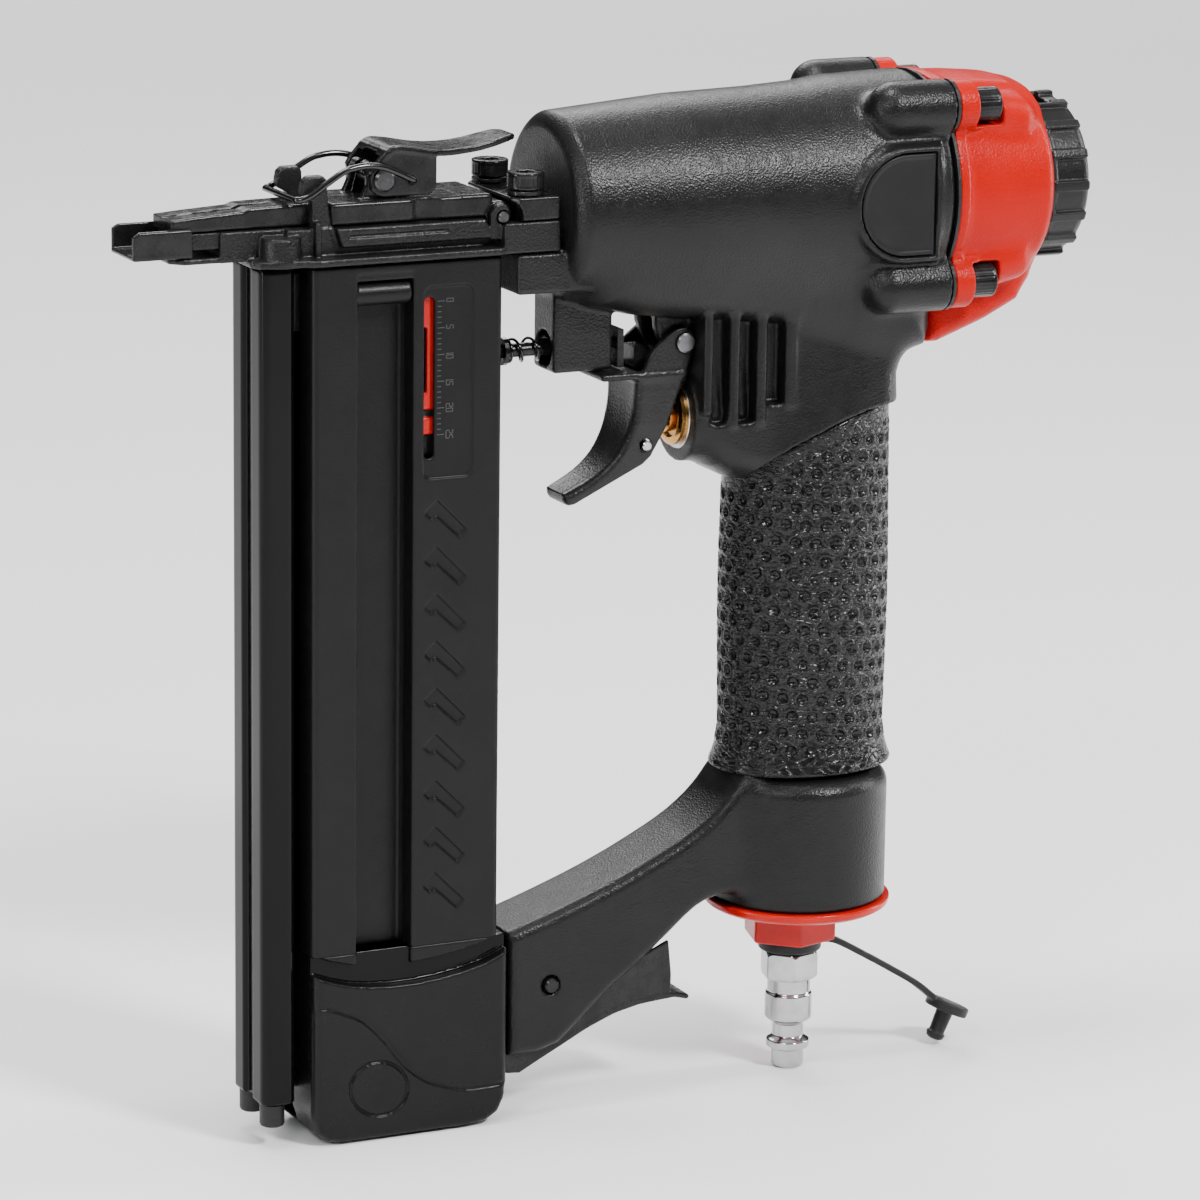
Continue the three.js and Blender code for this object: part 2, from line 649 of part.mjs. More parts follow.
// A pin along Y with a head at each end.
function headedPin([x, z], half, r, headR, headLength) {
  return join(
    cylinderY([-half, half], x, z, r, 12),
    cylinderY([-half - headLength, -half], x, z, headR, 12),
    cylinderY([half, half + headLength], x, z, headR, 12),
  );
}

function latchLever() {
  const side = (s) =>
    plateY(
      [[27.4, 220.6], [28.3, 218.2], [31.2, 216.9], [43.2, 217], [44.6, 218.4], [44.6, 226.4],
        [33.4, 228.4], [31.4, 227.4], [28, 222.8]],
      band(s, 6.8, 8),
    );
  const top = plateY(
    [[31.4, 227.4], [33.4, 228.4], [44.6, 226.5], [49, 226.3], [57, 226.9], [66.2, 229.1],
      [66.6, 227.8], [57, 225.6], [49, 225], [44.6, 225.2], [33.6, 227], [32, 226.2]],
    [-8, 8],
  );
  const corners = bothSides((s) => plateZ([[46, s * 6.6], [70, s * 5], [70, s * 12], [46, s * 12]], [220, 232]));
  return cut(
    join(side(-1), side(1), top),
    corners,
    cylinderY([-10, 10], ...LEVER_PIN, 2.1, 12),
    cylinderY([-10, 10], ...BAIL_EYE, 1.2, 12),
  );
}

function latchBail() {
  const arm = (s) => [
    [BAIL_EYE[0], s * 6.2, BAIL_EYE[1]],
    [BAIL_EYE[0], s * 8.4, BAIL_EYE[1]],
    [BAIL_EYE[0] - 0.6, s * 9.6, BAIL_EYE[1] + 0.3],
    [33.5, s * 10, 223],
    [26.2, s * 10.3, 225],
    [20, s * 10.4, 224],
    [15, s * 10.5, 221.4],
    [11.2, s * 10.5, 218.6],
    [BAIL_BAR[0] + 0.4, s * 9.6, BAIL_BAR[1]],
    [BAIL_BAR[0], s * 8, BAIL_BAR[1]],
  ];
  const points = [...arm(-1), ...arm(1).reverse()].map((p) => new THREE.Vector3(...p));
  return wire(new THREE.CatmullRomCurve3(points), 0.8, 44, 6);
}

// Work contact: a U-shaped shoe at the tip, and the strap that carries its travel along the far side.
function contactShoe() {
  const outer = box([-30.4, -15.8], [-7.4, 7.4], [205.5, 212.2]);
  const inner = box([-31, -15], [-6.3, 6.3], [206.6, 213]);
  const nearTop = plateY([[-31, 213], [-31, 211], [-29, 213]], [-10, 10]);
  return cut(outer, inner, nearTop);
}

function contactLink() {
  const strap = plateZ(
    [[-27, 7.7], [-6, 7.7], [-1, 15.2], [62.4, 15.2], [62.4, 16.6], [-1.8, 16.6], [-6.8, 9.1], [-27, 9.1]],
    [206.2, 210.6],
  );
  const leg = plateX(
    [[15, 208], [15, 190.5], [3.5, 181], [-4, 181], [-4, 172.6], [4, 172.6], [16.6, 186], [16.6, 208]],
    [61, 62.4],
  );
  return strap.add(leg);
}

const nose = new THREE.Group();
nose.add(
  mesh("nose_body", noseBody(), castBlack),
  mesh("nose_clamp_plate", clampPlate(), steelBlack),
  mesh("nose_door", noseDoor(), steelBlack),
  mesh("door_hinge_pin", cylinderY([-12.9, 12.9], ...HINGE, 1.4, 16), steel),
  mesh("latch_lever", latchLever(), steelBlack),
  mesh("latch_lever_pin", headedPin(LEVER_PIN, 8.3, 1.8, 2.6, 0.8), steel),
  mesh("latch_bail", latchBail(), steelBlack),
  mesh("latch_spring", spring([LEVER_PIN[0], -3.9, LEVER_PIN[1]], Y, 7.8, 3, 5.5, 0.5), steel),
  mesh("contact_shoe", contactShoe(), steelBlack),
  mesh("contact_link", contactLink(), steelBlack),
  mesh("contact_rod", cylinderX([62.7, 93.1], 0, ROD_Z, ROD_R, 16), steelBlack),
  mesh("contact_plate", box([93.4, 95], [-4.5, 4.5], [171.6, 180.8]), steelBlack),
  mesh("contact_spring", spring([66.6, 0, ROD_Z], X, 18, 2.7, 6, 0.45), steelBlack),
  mesh("contact_clip", ring([64.8, 65.8], 0, ROD_Z, 3.4, ROD_R + 0.25, 16), steelBlack),
);
[-1, 1].forEach((side) => {
  const name = side < 0 ? "left" : "right";
  const screw = mesh("nose_screw_" + name, capScrew(4.4, 4, 2.3, 22, 2.2), steelBlack);
  screw.rotation.y = -Math.PI / 2;
  screw.position.set(NOSE_SCREW[0], side * NOSE_SCREW[1], 217.4);
  const washer = mesh("nose_washer_" + name, cut(
    cylinderZ([216.1, 217.1], 0, 0, 4.4, 20),
    cylinderZ([215, 218], 0, 0, 2.6, 12),
  ), steelBlack);
  washer.position.set(NOSE_SCREW[0], side * NOSE_SCREW[1], 0);
  nose.add(screw, washer);
});

// ---------------------------------------------------------------- trigger and valve

function trigger() {
  const profile = [
    [96.6, 169.5], [95.9, 160], [94.4, 154.5], [92.3, 150.8], [89.2, 147.5], [85.6, 145.2],
    [80.4, 142.6], [79, 141.2], [79.4, 139.3], [81.4, 138.9], [99.6, 148.2], [101, 149.4],
    [104.7, 156.5], [109.6, 169.5],
  ];
  const hollow = [
    [97.6, 175], [97.2, 160], [96.2, 154], [95, 150.6], [120, 150.6], [120, 175],
  ];
  const body = plateY(profile, [-TRIGGER_HALF, TRIGGER_HALF], 0.8);
  const taper = plateX(
    [[-9, 172], [-9, 158], [-6.6, 146], [-6, 136], [6, 136], [6.6, 146], [9, 158], [9, 172]],
    [70, 115],
  );
  const ledge = box([87.2, 109.6], [-TRIGGER_HALF, TRIGGER_HALF], [169, 171]);
  const ears = bothSides((side) =>
    plateY(
      [[98, 169.5], [99.6, 174.2], [100.7, 176.6], [104.6, 179.6], [107.1, 180.9], [108.9, 181.2],
        [111, 179.9], [112, 177.6], [109.6, 169.5]],
      band(side, TRIGGER_HALF - TRIGGER_WALL, TRIGGER_HALF),
    ),
  );
  return cut(
    join(body.intersect(taper), ledge, ears),
    plateY(hollow, [-TRIGGER_HALF + TRIGGER_WALL, TRIGGER_HALF - TRIGGER_WALL]).intersect(
      join(
        box([90, 120], [-7.2, 7.2], [140, 169]),
        box([96.6, 120], [-7.2, 7.2], [168, 175]),
      ),
    ),
    cylinderY([-12, 12], ...TRIGGER_PIVOT, 2.1, 12),
    cylinderY([-12, 12], ...IDLER_PIN, 1.6, 12),
  );
}

function triggerIdler() {
  const [x, z] = IDLER_PIN;
  const lever = plateY([[98.4, z], [101.6, z], [101.6, 176], [98.4, 176]], [-3, 3]);
  return cut(lever.add(cylinderY([-3, 3], x + 0.5, z, 2, 20)), cylinderY([-4, 4], x, z, 1.5, 16));
}

function valveBushing() {
  const outside = turnedX(
    [[107.4, 0], [107.4, 4.4], [109.4, 4.4], [109.4, 7.7], [110.7, 7.7], [110.7, 6.8], [127, 6.8], [127, 0]],
    0, VALVE_Z, 28,
  );
  return cut(
    outside,
    cylinderX([106, 119], 0, VALVE_Z, STEM_R + 0.35, 12),
    cylinderX([118, 128], 0, VALVE_Z, 5.4, 24),
  );
}

function valveStem() {
  return turnedX(
    [[103.4, 0], [103.4, 1.4], [104, STEM_R], [119.5, STEM_R], [119.5, 4.6], [121.5, 4.6], [121.5, 0]],
    0, VALVE_Z, 16,
  );
}

const triggerGroup = new THREE.Group();
triggerGroup.add(
  mesh("trigger", trigger(), castBlack),
  mesh("trigger_pin", headedPin(TRIGGER_PIVOT, 9.3, 1.8, 2.4, 0.8), steel),
  mesh("trigger_idler", triggerIdler(), steel),
  mesh("idler_pin", cylinderY([-9.3, 9.3], ...IDLER_PIN, 1.2, 16), steel),
  mesh("valve_bushing", valveBushing(), brass),
  mesh("valve_stem", valveStem(), brass),
  mesh("valve_spring", spring([125.2, 0, VALVE_Z], X, 8, 4, 3.5, 0.5), steel),
  mesh("valve_retainer", ring([134.2, 135.4], 0, VALVE_Z, 6.6, 2.5, 24), steel),
);

// ---------------------------------------------------------------- magazine

function magazineRail() {
  const bar = plateZ(roundedRect(RAIL_BAR, [-RAIL_HALF, RAIL_HALF], 2.2), [0, RAIL_TOP]);
  const core = box([RAIL_BAR[1] - 1, RAIL_REAR], [1.5, 9], [0, RAIL_TOP]);
  const frontGroove = box([-1, 1.2], [-2.5, 2.5], [-1, RAIL_TOP + 1]);
  return cut(bar.add(core), frontGroove);
}

function magazineCover() {
  const outside = plateZ(roundedRect(COVER_X, [-COVER_HALF, COVER_HALF], 1.6), COVER_Z);
  const lip = cylinderX([22.6, 36.2], -9.3, 195, 3.1, 20);
  const floor = [COVER_Z[0] - 1, COVER_Z[1] + 1];
  const shell = cut(
    outside,
    box([COVER_X[0] - 1, 57.4], [-4, 10], floor), // room for the rail and the nails
    box([22.9, 37], [-14, -6.2], [COVER_Z[0] - 1, 200]), // channel in the near face
    box([38.8, 45.6], [-10.8, -3.9], [40, 198.6]), // pocket for the pusher's flag
    box([39.6, 42.6], [-14, -10], [155, 193.6]), // sight window
    box([47.2, 56.8], [-10.8, -3.9], [COVER_Z[0] - 1, 198.6]), // pocket for the pusher spring
    box([57, 61], [-5.4, 5.4], [COVER_Z[0] - 1, 150]), // slot past the arm's tongue
  );
  return shell.add(lip);
}

function magazineFootCap() {
  const outside = plateZ(roundedRect(FOOT_CAP_X, [-FOOT_CAP_HALF, FOOT_CAP_HALF], 2.2), [GROUND_Z, FOOT_CAP_TOP], 0);
  const toeRounding = plateY([[50, GROUND_Z - 1], [57, GROUND_Z - 0.01], [60.6, -9], [63, -5], [63, GROUND_Z - 1]], [-20, 20]);
  return cut(
    outside,
    toeRounding,
    box([10, 59.7], [-11.6, 11.6], [-8, FOOT_CAP_TOP + 1]),
    box([59, 63], [-5.4, 5.4], [15, FOOT_CAP_TOP + 1]), // slot past the arm's tongue
    box([59, 63], [-6, 6], [4, 13]), // catch window
  );
}

function pusher() {
  const slider = box([10.2, 55.8], [-3.7, 1.1], [186, 200]);
  const skirt = box([30, 55.8], [-3.7, 1.1], [158, 187]);
  const flag = box([39.1, 45.3], [-10.4, -3], [155, 197]);
  const springLug = box([47.6, 55.8], [-10.4, -3], [189, 197]);
  return cut(join(slider, skirt, flag, springLug), cylinderZ([180, 198], ...GUIDE, 1.7, 16));
}

const magazine = new THREE.Group();
magazine.add(
  mesh("magazine_rail", magazineRail(), glossBlack),
  mesh("magazine_cover", magazineCover(), coverBlack),
  mesh("magazine_foot_cap", magazineFootCap(), plasticBlack),
  mesh("pusher", pusher(), red),
  mesh("pusher_guide_rod", cylinderZ([-7.7, 198.3], ...GUIDE, 1.3, 10), steel),
  mesh("pusher_spring", spring([...GUIDE, -6.8], Z, 195, 2.3, 18, 0.45), steel),
);
[-1, 1].forEach((side) => {
  magazine.add(
    mesh(
      "rail_foot_" + (side < 0 ? "left" : "right"),
      turnedZ([[-5.8, 0], [-5.8, 2.4], [-5.2, 3], [-GAP, 3], [-GAP, 0]], 3.6, side * 6.4, 12),
      rubberBlack,
    ),
  );
});

// ---------------------------------------------------------------- magazine release

function releaseLatch() {
  const side = [
    [63, 17], [63, 2], [64.4, -0.3], [68, -0.6], [72, 1.5], [78.8, 4.9], [86, 8.6], [93.2, 11.3],
    [100, 12.7], [108.4, 13.4], [108.6, 19.7], [107.7, 28.2], [99, 24.4], [90, 24], [80, 26.4],
    [71, 26.4], [67, 24],
  ];
  const web = [
    [63, 12], [63, 2], [64.4, -0.3], [68, -0.6], [72, 1.5], [78.8, 4.9], [86, 8.6], [93.2, 11.3],
    [100, 12.7], [108.4, 13.4], [113.2, 12.6], [113.6, 14], [108.4, 15], [99.6, 14.3], [92.6, 12.8],
    [85.4, 10.1], [78, 6.4], [71.4, 3], [67.6, 0.9], [65.4, 1.2], [64.4, 2.6], [64.4, 12],
  ];
  return cut(
    join(
      plateY(side, [-8.2, -6.8]),
      plateY(side, [6.8, 8.2]),
      plateY(web, [-8.2, 8.2]),
    ),
    cylinderY([-12, 12], ...LATCH_PIN, 2.1, 12),
  );
}

const release = new THREE.Group();
release.add(
  mesh("release_latch", releaseLatch(), steelBlack),
  mesh("release_latch_pin", cylinderY([-12, 12], ...LATCH_PIN, 1.8, 16), steelBlack),
  mesh("release_latch_spring", spring([LATCH_PIN[0], -5.6, LATCH_PIN[1]], Y, 11.2, 3, 6.5, 0.55), steel),
);

// ---------------------------------------------------------------- air inlet

function inletCap() {
  const ringPart = turnedZ(
    [[HEX_Z[1] - 0.2, 0], [HEX_Z[1] - 0.2, 21.6], [32.6, 23.3], [34.3, 23.3], [34.3, 13.6], [46, 13.6], [46, 0]],
    HANDLE_X, 0, 36,
  );
  const hex = cylinderZ(HEX_Z, PLUG_X, 0, 11.6, 6);
  return cut(ringPart.add(hex), cylinderZ([20, 36], PLUG_X, 0, 6.3, 20), cylinderZ([35, 47], HANDLE_X, 0, 10, 20));
}

function airPlug() {
  const thread = cylinderZ([19, 34], PLUG_X, 0, 6, 20);
  const hex = cylinderZ([12.4, 19.4], PLUG_X, 0, 7.5, 6);
  const nipple = turnedZ(
    [[GROUND_Z, 0], [GROUND_Z, 3.2], [GROUND_Z + 0.8, 4], [-6, 4], [-5.4, 5.4], [-3.8, 5.4], [-3, 3.9],
      [0.2, 3.9], [1.6, 5.9], [12.6, 5.9], [12.6, 0]],
    PLUG_X, 0, 24,
  );
  return cut(join(thread, hex, nipple), cylinderZ([GROUND_Z - 1, 35], PLUG_X, 0, 1.8, 12));
}

// Rubber dust cap, moulded in one with its strap and the ring that sits under the inlet.
function dustCap() {
  const collar = cylinderZ([19.8, 22.5], PLUG_X, 0, 7.9, 24);
  const strapPath = new THREE.CatmullRomCurve3(
    [[152, 21.1], [157, 20.6], [165, 16.2], [174.5, 10.4], [181, 6.2], [186, 2], [190, -1.8]].map(
      ([x, z]) => new THREE.Vector3(x, 0, z),
    ),
  );
  const section = outline([[-2.2, -0.8], [2.2, -0.8], [2.2, 0.8], [-2.2, 0.8]]);
  const strap = solid(
    new THREE.ExtrudeGeometry(section, { steps: 18, bevelEnabled: false, extrudePath: strapPath }),
  );
  const plug = new THREE.LatheGeometry(
    [[0, 1.3], [5.6, 1.3], [5.6, -1.2], [2.3, -1.2], [2.1, -8.2], [1.4, -9], [0, -9]].map(
      ([r, z]) => new THREE.Vector2(r, z),
    ),
    20,
  );
  plug.rotateX(Math.PI / 2).rotateY(0.42).translate(190.7, 0, -1.4);
  return cut(join(collar, strap, solid(plug)), cylinderZ([18, 24], PLUG_X, 0, 6.3, 24));
}

const inlet = new THREE.Group();
inlet.add(
  mesh("inlet_cap", inletCap(), red),
  mesh("air_plug", airPlug(), chrome),
  mesh("dust_cap", dustCap(), rubberBlack),
);

// ---------------------------------------------------------------- the tool

const nailer = new THREE.Group();
nailer.add(casting, endCap, power, nose, triggerGroup, magazine, release, inlet);
nailer.position.set(-ORIGIN[0], -ORIGIN[1], -ORIGIN[2]);

export default nailer;
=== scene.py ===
"""Looks of a pneumatic brad nailer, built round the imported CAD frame.

Shapes are worked out in millimetres in the tool's own frame: x = 0 at the front face of the
magazine rail, +x to the rear, y = 0 on the middle plane, z = 0 at the rail's lower end.
"""
import math
from functools import reduce

import bpy
import numpy as np
import openvdb
from mathutils import Matrix, Vector


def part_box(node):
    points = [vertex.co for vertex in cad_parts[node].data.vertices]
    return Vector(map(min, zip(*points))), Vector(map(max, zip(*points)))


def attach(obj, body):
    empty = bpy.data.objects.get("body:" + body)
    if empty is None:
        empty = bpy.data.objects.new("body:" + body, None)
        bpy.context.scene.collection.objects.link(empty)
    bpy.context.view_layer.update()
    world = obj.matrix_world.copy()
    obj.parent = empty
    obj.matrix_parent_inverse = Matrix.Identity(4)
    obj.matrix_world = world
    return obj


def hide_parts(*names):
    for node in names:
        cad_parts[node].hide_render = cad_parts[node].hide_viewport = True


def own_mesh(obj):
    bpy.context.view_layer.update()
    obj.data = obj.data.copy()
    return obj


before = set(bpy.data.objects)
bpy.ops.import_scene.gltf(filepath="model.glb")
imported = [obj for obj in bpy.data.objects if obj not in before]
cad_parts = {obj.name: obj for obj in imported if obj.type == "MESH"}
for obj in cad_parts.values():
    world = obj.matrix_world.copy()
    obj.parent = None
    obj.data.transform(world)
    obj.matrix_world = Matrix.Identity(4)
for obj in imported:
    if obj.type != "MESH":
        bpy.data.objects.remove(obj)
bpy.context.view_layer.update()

rail_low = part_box("magazine_rail")[0]
ORIGIN = np.array([rail_low[0], 0.0, rail_low[2]])
MM = 0.001
GROUND = -ORIGIN[2] / MM

# ------------------------------------------------------------------ camera

AZIMUTH = math.radians(-25.505)
ELEVATION = math.radians(13.576)
ROLL = math.radians(0.729)
LENS = 167.18
SENSOR = 36.0
EYE = Vector((-471.7, -1181.0, 429.7)) * MM + Vector(ORIGIN)


def make_camera():
    back = Vector((math.sin(AZIMUTH) * math.cos(ELEVATION), -math.cos(AZIMUTH) * math.cos(ELEVATION),
        math.sin(ELEVATION)))
    right = Vector((math.cos(AZIMUTH), math.sin(AZIMUTH), 0))
    up = back.cross(right)
    right, up = (math.cos(ROLL) * right + math.sin(ROLL) * up, -math.sin(ROLL) * right + math.cos(ROLL)
        * up)
    data = bpy.data.cameras.new("camera")
    data.lens = LENS
    data.sensor_width = SENSOR
    data.clip_start = 0.05
    camera = bpy.data.objects.new("camera", data)
    camera.matrix_world = Matrix.Translation(EYE) @ Matrix((right, up, back)).transposed().to_4x4()
    bpy.context.scene.collection.objects.link(camera)
    bpy.context.scene.camera = camera


make_camera()

# ------------------------------------------------------------------ signed distances


class Field:
    """A grid of points, in millimetres, on which shapes are signed distances (inside < 0)."""

    def __init__(self, low, high, step):
        self.step = step
        self.low = np.asarray(low, float) - 3 * step
        counts = np.ceil((np.asarray(high, float) - self.low) / step).astype(int) + 4
        axes = [self.low[i] + step * np.arange(counts[i]) for i in range(3)]
        self.x = axes[0].astype(np.float32)[:, None, None]
        self.y = axes[1].astype(np.float32)[None, :, None]
        self.z = axes[2].astype(np.float32)[None, None, :]
        self.shape = tuple(counts)

    def axes(self, axis):
        """The coordinate along an axis, then the two across it."""
        return {"x": (self.x, self.y, self.z), "y": (self.y, self.x, self.z),
            "z": (self.z, self.x, self.y)}[axis]


def around(node, step, margin=1.2):
    low, high = (np.array(corner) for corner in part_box(node))
    return Field((low - ORIGIN) / MM - margin, (high - ORIGIN) / MM + margin, step)


def slab(v, low, high):
    return np.abs(v - (low + high) / 2) - (high - low) / 2


def meet(a, b, r=0.0):
    """Where a and b are both inside, with the edge between them rounded by r."""
    a, b = a + r, b + r
    inside = np.minimum(np.maximum(a, b), 0)
    return inside + np.sqrt(np.maximum(a, 0) ** 2 + np.maximum(b, 0) ** 2) - r


def union(*shapes, k=0.0):
    total = shapes[0]
    for shape in shapes[1:]:
        if np.any(k):
            h = np.clip(0.5 + 0.5 * (shape - total) / k, 0, 1)
            total = shape * (1 - h) + total * h - k * h * (1 - h)
        else:
            total = np.minimum(total, shape)
    return total


def cut(shape, *tools, k=0.0):
    for tool in tools:
        shape = -union(-shape, tool, k=k)
    return shape


def on(side, near, far):
    """A span across the tool, on one side of its middle plane."""
    return tuple(sorted((side * near, side * far)))


def box(f, xs, ys, zs, r=0.0):
    qx, qy, qz = slab(f.x, *xs) + r, slab(f.y, *ys) + r, slab(f.z, *zs) + r
    outside = np.sqrt(np.maximum(qx, 0) ** 2 + np.maximum(qy, 0) ** 2 + np.maximum(qz, 0) ** 2)
    return outside + np.minimum(np.maximum(np.maximum(qx, qy), qz), 0) - r


def to_segment(u, v, start, end):
    """Squared distance to the straight line between two points."""
    (u0, v0), (u1, v1) = start, end
    eu, ev = u1 - u0, v1 - v0
    t = np.clip(((u - u0) * eu + (v - v0) * ev) / (eu * eu + ev * ev), 0, 1)
    return (u - u0 - t * eu) ** 2 + (v - v0 - t * ev) ** 2


def polygon(u, v, points):
    """Signed distance to a closed outline."""
    sides = list(zip(points, points[1:] + points[:1]))
    far = np.sqrt(reduce(np.minimum, (to_segment(u, v, *side) for side in sides)))
    inside = np.zeros(far.shape, bool)
    for (u0, v0), (u1, v1) in sides:
        if v0 != v1:
            inside ^= ((v0 <= v) != (v1 <= v)) & (u < (v - v0) * (u1 - u0) / (v1 - v0) + u0)
    return np.where(inside, -far, far)


def prism(f, axis, points, span, r=0.0, corner=0.0):
    along, u, v = f.axes(axis)
    flat = rounded_corners(u, v, points, corner) if corner else polygon(u, v, points)
    return meet(flat, slab(along, *span), r)


def rounded_corners(u, v, points, r):
    """The outline with its corners rounded: shrunk by r, then grown by it."""
    shrunk = []
    count = len(points)
    area = sum(points[i][0] * points[(i + 1) % count][1] - points[(i + 1) % count][0] * points[i][1]
        for i in range(count))
    turn = 1 if area > 0 else -1
    for i in range(count):
        a, b, c = (np.array(points[(i + j) % count], float) for j in (-1, 0, 1))
        e0, e1 = (b - a) / np.linalg.norm(b - a), (c - b) / np.linalg.norm(c - b)
        n0, n1 = turn * np.array([-e0[1], e0[0]]), turn * np.array([-e1[1], e1[0]])
        mitre = (n0 + n1) / max(1 + n0 @ n1, 0.3)
        shrunk.append(tuple(b + r * mitre))
    return polygon(u, v, shrunk) - r


def rod(f, axis, centre, radius, span, r=0.0):
    along, u, v = f.axes(axis)
    across = np.sqrt((u - centre[0]) ** 2 + (v - centre[1]) ** 2) - radius
    return meet(across, slab(along, *span), r)


def turned(f, axis, centre, profile, r=0.0):
    """A body of changing radius: profile lists (along, radius) from one end to the other."""
    along, u, v = f.axes(axis)
    stations, radii = zip(*profile)
    across = np.sqrt((u - centre[0]) ** 2 + (v - centre[1]) ** 2)
    return meet(across - np.interp(along, stations, radii).astype(np.float32),
        slab(along, stations[0], stations[-1]), r)


def capsule(f, a, b, radius):
    a, b = np.array(a, float), np.array(b, float)
    d = b - a
    px, py, pz = f.x - a[0], f.y - a[1], f.z - a[2]
    t = np.clip((px * d[0] + py * d[1] + pz * d[2]) / (d @ d), 0, 1)
    return np.sqrt((px - t * d[0]) ** 2 + (py - t * d[1]) ** 2 + (pz - t * d[2]) ** 2) - radius


def along_polyline(u, v, points, half):
    """A band of the given half thickness along an open line."""
    sides = zip(points, points[1:])
    return np.sqrt(reduce(np.minimum, (to_segment(u, v, *side) for side in sides))) - half


def curve_points(points, count):
    """A smooth line through the points."""
    points = np.array(points, float)
    ends = np.vstack([2 * points[0] - points[1], points, 2 * points[-1] - points[-2]])
    out = []
    for t in np.linspace(0, len(points) - 1, count):
        i = min(int(t), len(points) - 2)
        s = t - i
        p0, p1, p2, p3 = ends[i:i + 4]
        out.append(0.5 * (2 * p1 + (p2 - p0) * s + (2 * p0 - 5 * p1 + 4 * p2 - p3) * s * s
            + (3 * p1 - p0 - 3 * p2 + p3) * s ** 3))
    return np.array(out)


# ------------------------------------------------------------------ meshes


def add_object(name, mesh, body, *nodes):
    obj = bpy.data.objects.new(name, mesh)
    bpy.context.scene.collection.objects.link(obj)
    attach(obj, body)
    if nodes:
        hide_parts(*nodes)
    return obj


def mesh_of(name, points, faces, smooth=True, sharp=None):
    """points in millimetres in the tool's frame; faces as lists of equal length, grouped."""
    mesh = bpy.data.meshes.new(name)
    points = np.asarray(points, float) * MM + ORIGIN
    corners = np.concatenate([np.asarray(group).ravel() for group in faces if len(group)])
    sizes = np.concatenate([np.full(len(group), len(group[0])) for group in faces if len(group)])
    mesh.vertices.add(len(points))
    mesh.vertices.foreach_set("co", points.ravel())
    mesh.loops.add(len(corners))
    mesh.loops.foreach_set("vertex_index", corners.astype(np.int32))
    mesh.polygons.add(len(sizes))
    starts = np.concatenate([[0], np.cumsum(sizes)[:-1]])
    mesh.polygons.foreach_set("loop_start", starts.astype(np.int32))
    mesh.polygons.foreach_set("loop_total", sizes.astype(np.int32))
    mesh.polygons.foreach_set("use_smooth", np.full(len(sizes), smooth))
    mesh.update(calc_edges=True)
    mesh.validate()
    if sharp:
        mesh.set_sharp_from_angle(angle=math.radians(sharp))
    return mesh


def surface(name, f, shape):
    """The zero surface of a shape on its grid."""
    limit = 3 * f.step
    values = np.array(np.clip(np.broadcast_to(shape, f.shape), -limit, limit), np.float32)
    for axis in range(3):
        for end in (0, -1):
            np.moveaxis(values, axis, 0)[end] = limit
    grid = openvdb.FloatGrid(limit)
    grid.copyFromArray(values)
    points, triangles, quads = grid.convertToPolygons(isovalue=0.0, adaptivity=0.0)
    points = points * f.step + f.low
    groups = [np.asarray(g)[:, ::-1] for g in (triangles, quads) if len(g)]
    return mesh_of(name, points, groups)


def piece(name, f, shape, body, node, slot, *shaders):
    """The surface of a shape, riding its body in place of a CAD node."""
    return dress(add_object(name, surface(name, f, shape), body, node), *shaders, slot=slot)


def paint(obj, index):
    """Each face takes the shader that its index names."""
    obj.data.polygons.foreach_set("material_index", index.astype(np.int32))


def face_centres(mesh):
    centres = np.empty(3 * len(mesh.polygons))
    mesh.polygons.foreach_get("center", centres)
    return (centres.reshape(-1, 3) - ORIGIN) / MM


AXES = {"x": (0, 1, 2), "y": (1, 2, 0), "z": (2, 0, 1)}


def on_axis(axis, along, radius, angle):
    """Points at the angles round an axis, at their places along it."""
    points = np.zeros((len(angle), 3))
    for column, values in zip(AXES[axis], (along, radius * np.cos(angle), radius * np.sin(angle))):
        points[:, column] = values
    return points


def tube_faces(count, sides, corners):
    """Quads between rings of points, then the two ends; corners are steps (along, round)."""
    i, s = (index.ravel() for index in np.mgrid[0:count - 1, 0:sides])
    quads = np.stack([(i + ahead) * sides + (s + turn) % sides for ahead, turn in corners], 1)
    ring = np.arange(sides)
    return [quads, np.stack([ring, count * sides - 1 - ring])]


def sweep(points, radius, sides=10):
    """Points and faces of a round bar along a line."""
    points = np.asarray(points, float)
    ahead = np.roll(points, -1, 0) - np.roll(points, 1, 0)
    ahead[0], ahead[-1] = points[1] - points[0], points[-1] - points[-2]
    ahead /= np.linalg.norm(ahead, axis=1)[:, None]
    side = np.cross(ahead[0], [0, 0, 1.0])
    if np.linalg.norm(side) < 0.1:
        side = np.cross(ahead[0], [0, 1.0, 0])
    turns = 2 * math.pi * np.arange(sides) / sides
    rings = []
    for point, forward in zip(points, ahead):
        side = side - forward * (side @ forward)
        side /= np.linalg.norm(side)
        other = np.cross(forward, side)
        rings.append(point + radius * (np.cos(turns)[:, None] * side + np.sin(turns)[:, None] * other))
    return np.vstack(rings), tube_faces(len(points), sides, ((0, 1), (1, 1), (1, 0), (0, 0)))


def lathe(axis, centre, profile, sides=64):
    """Points and faces of a turned piece: profile lists (along, radius), closed on the axis."""
    turns = 2 * math.pi * np.arange(sides) / sides
    points = np.vstack([on_axis(axis, along, radius, turns) for along, radius in profile])
    points[:, sorted(AXES[axis][1:])] += centre
    return points, tube_faces(len(profile), sides, ((1, 0), (1, 1), (0, 1), (0, 0)))


def joined(*parts):
    """Several (points, faces) as one."""
    points, groups, base = [], [], 0
    for vertices, faces in parts:
        points.append(vertices)
        groups += [np.asarray(group) + base for group in faces]
        base += len(vertices)
    return np.vstack(points), groups


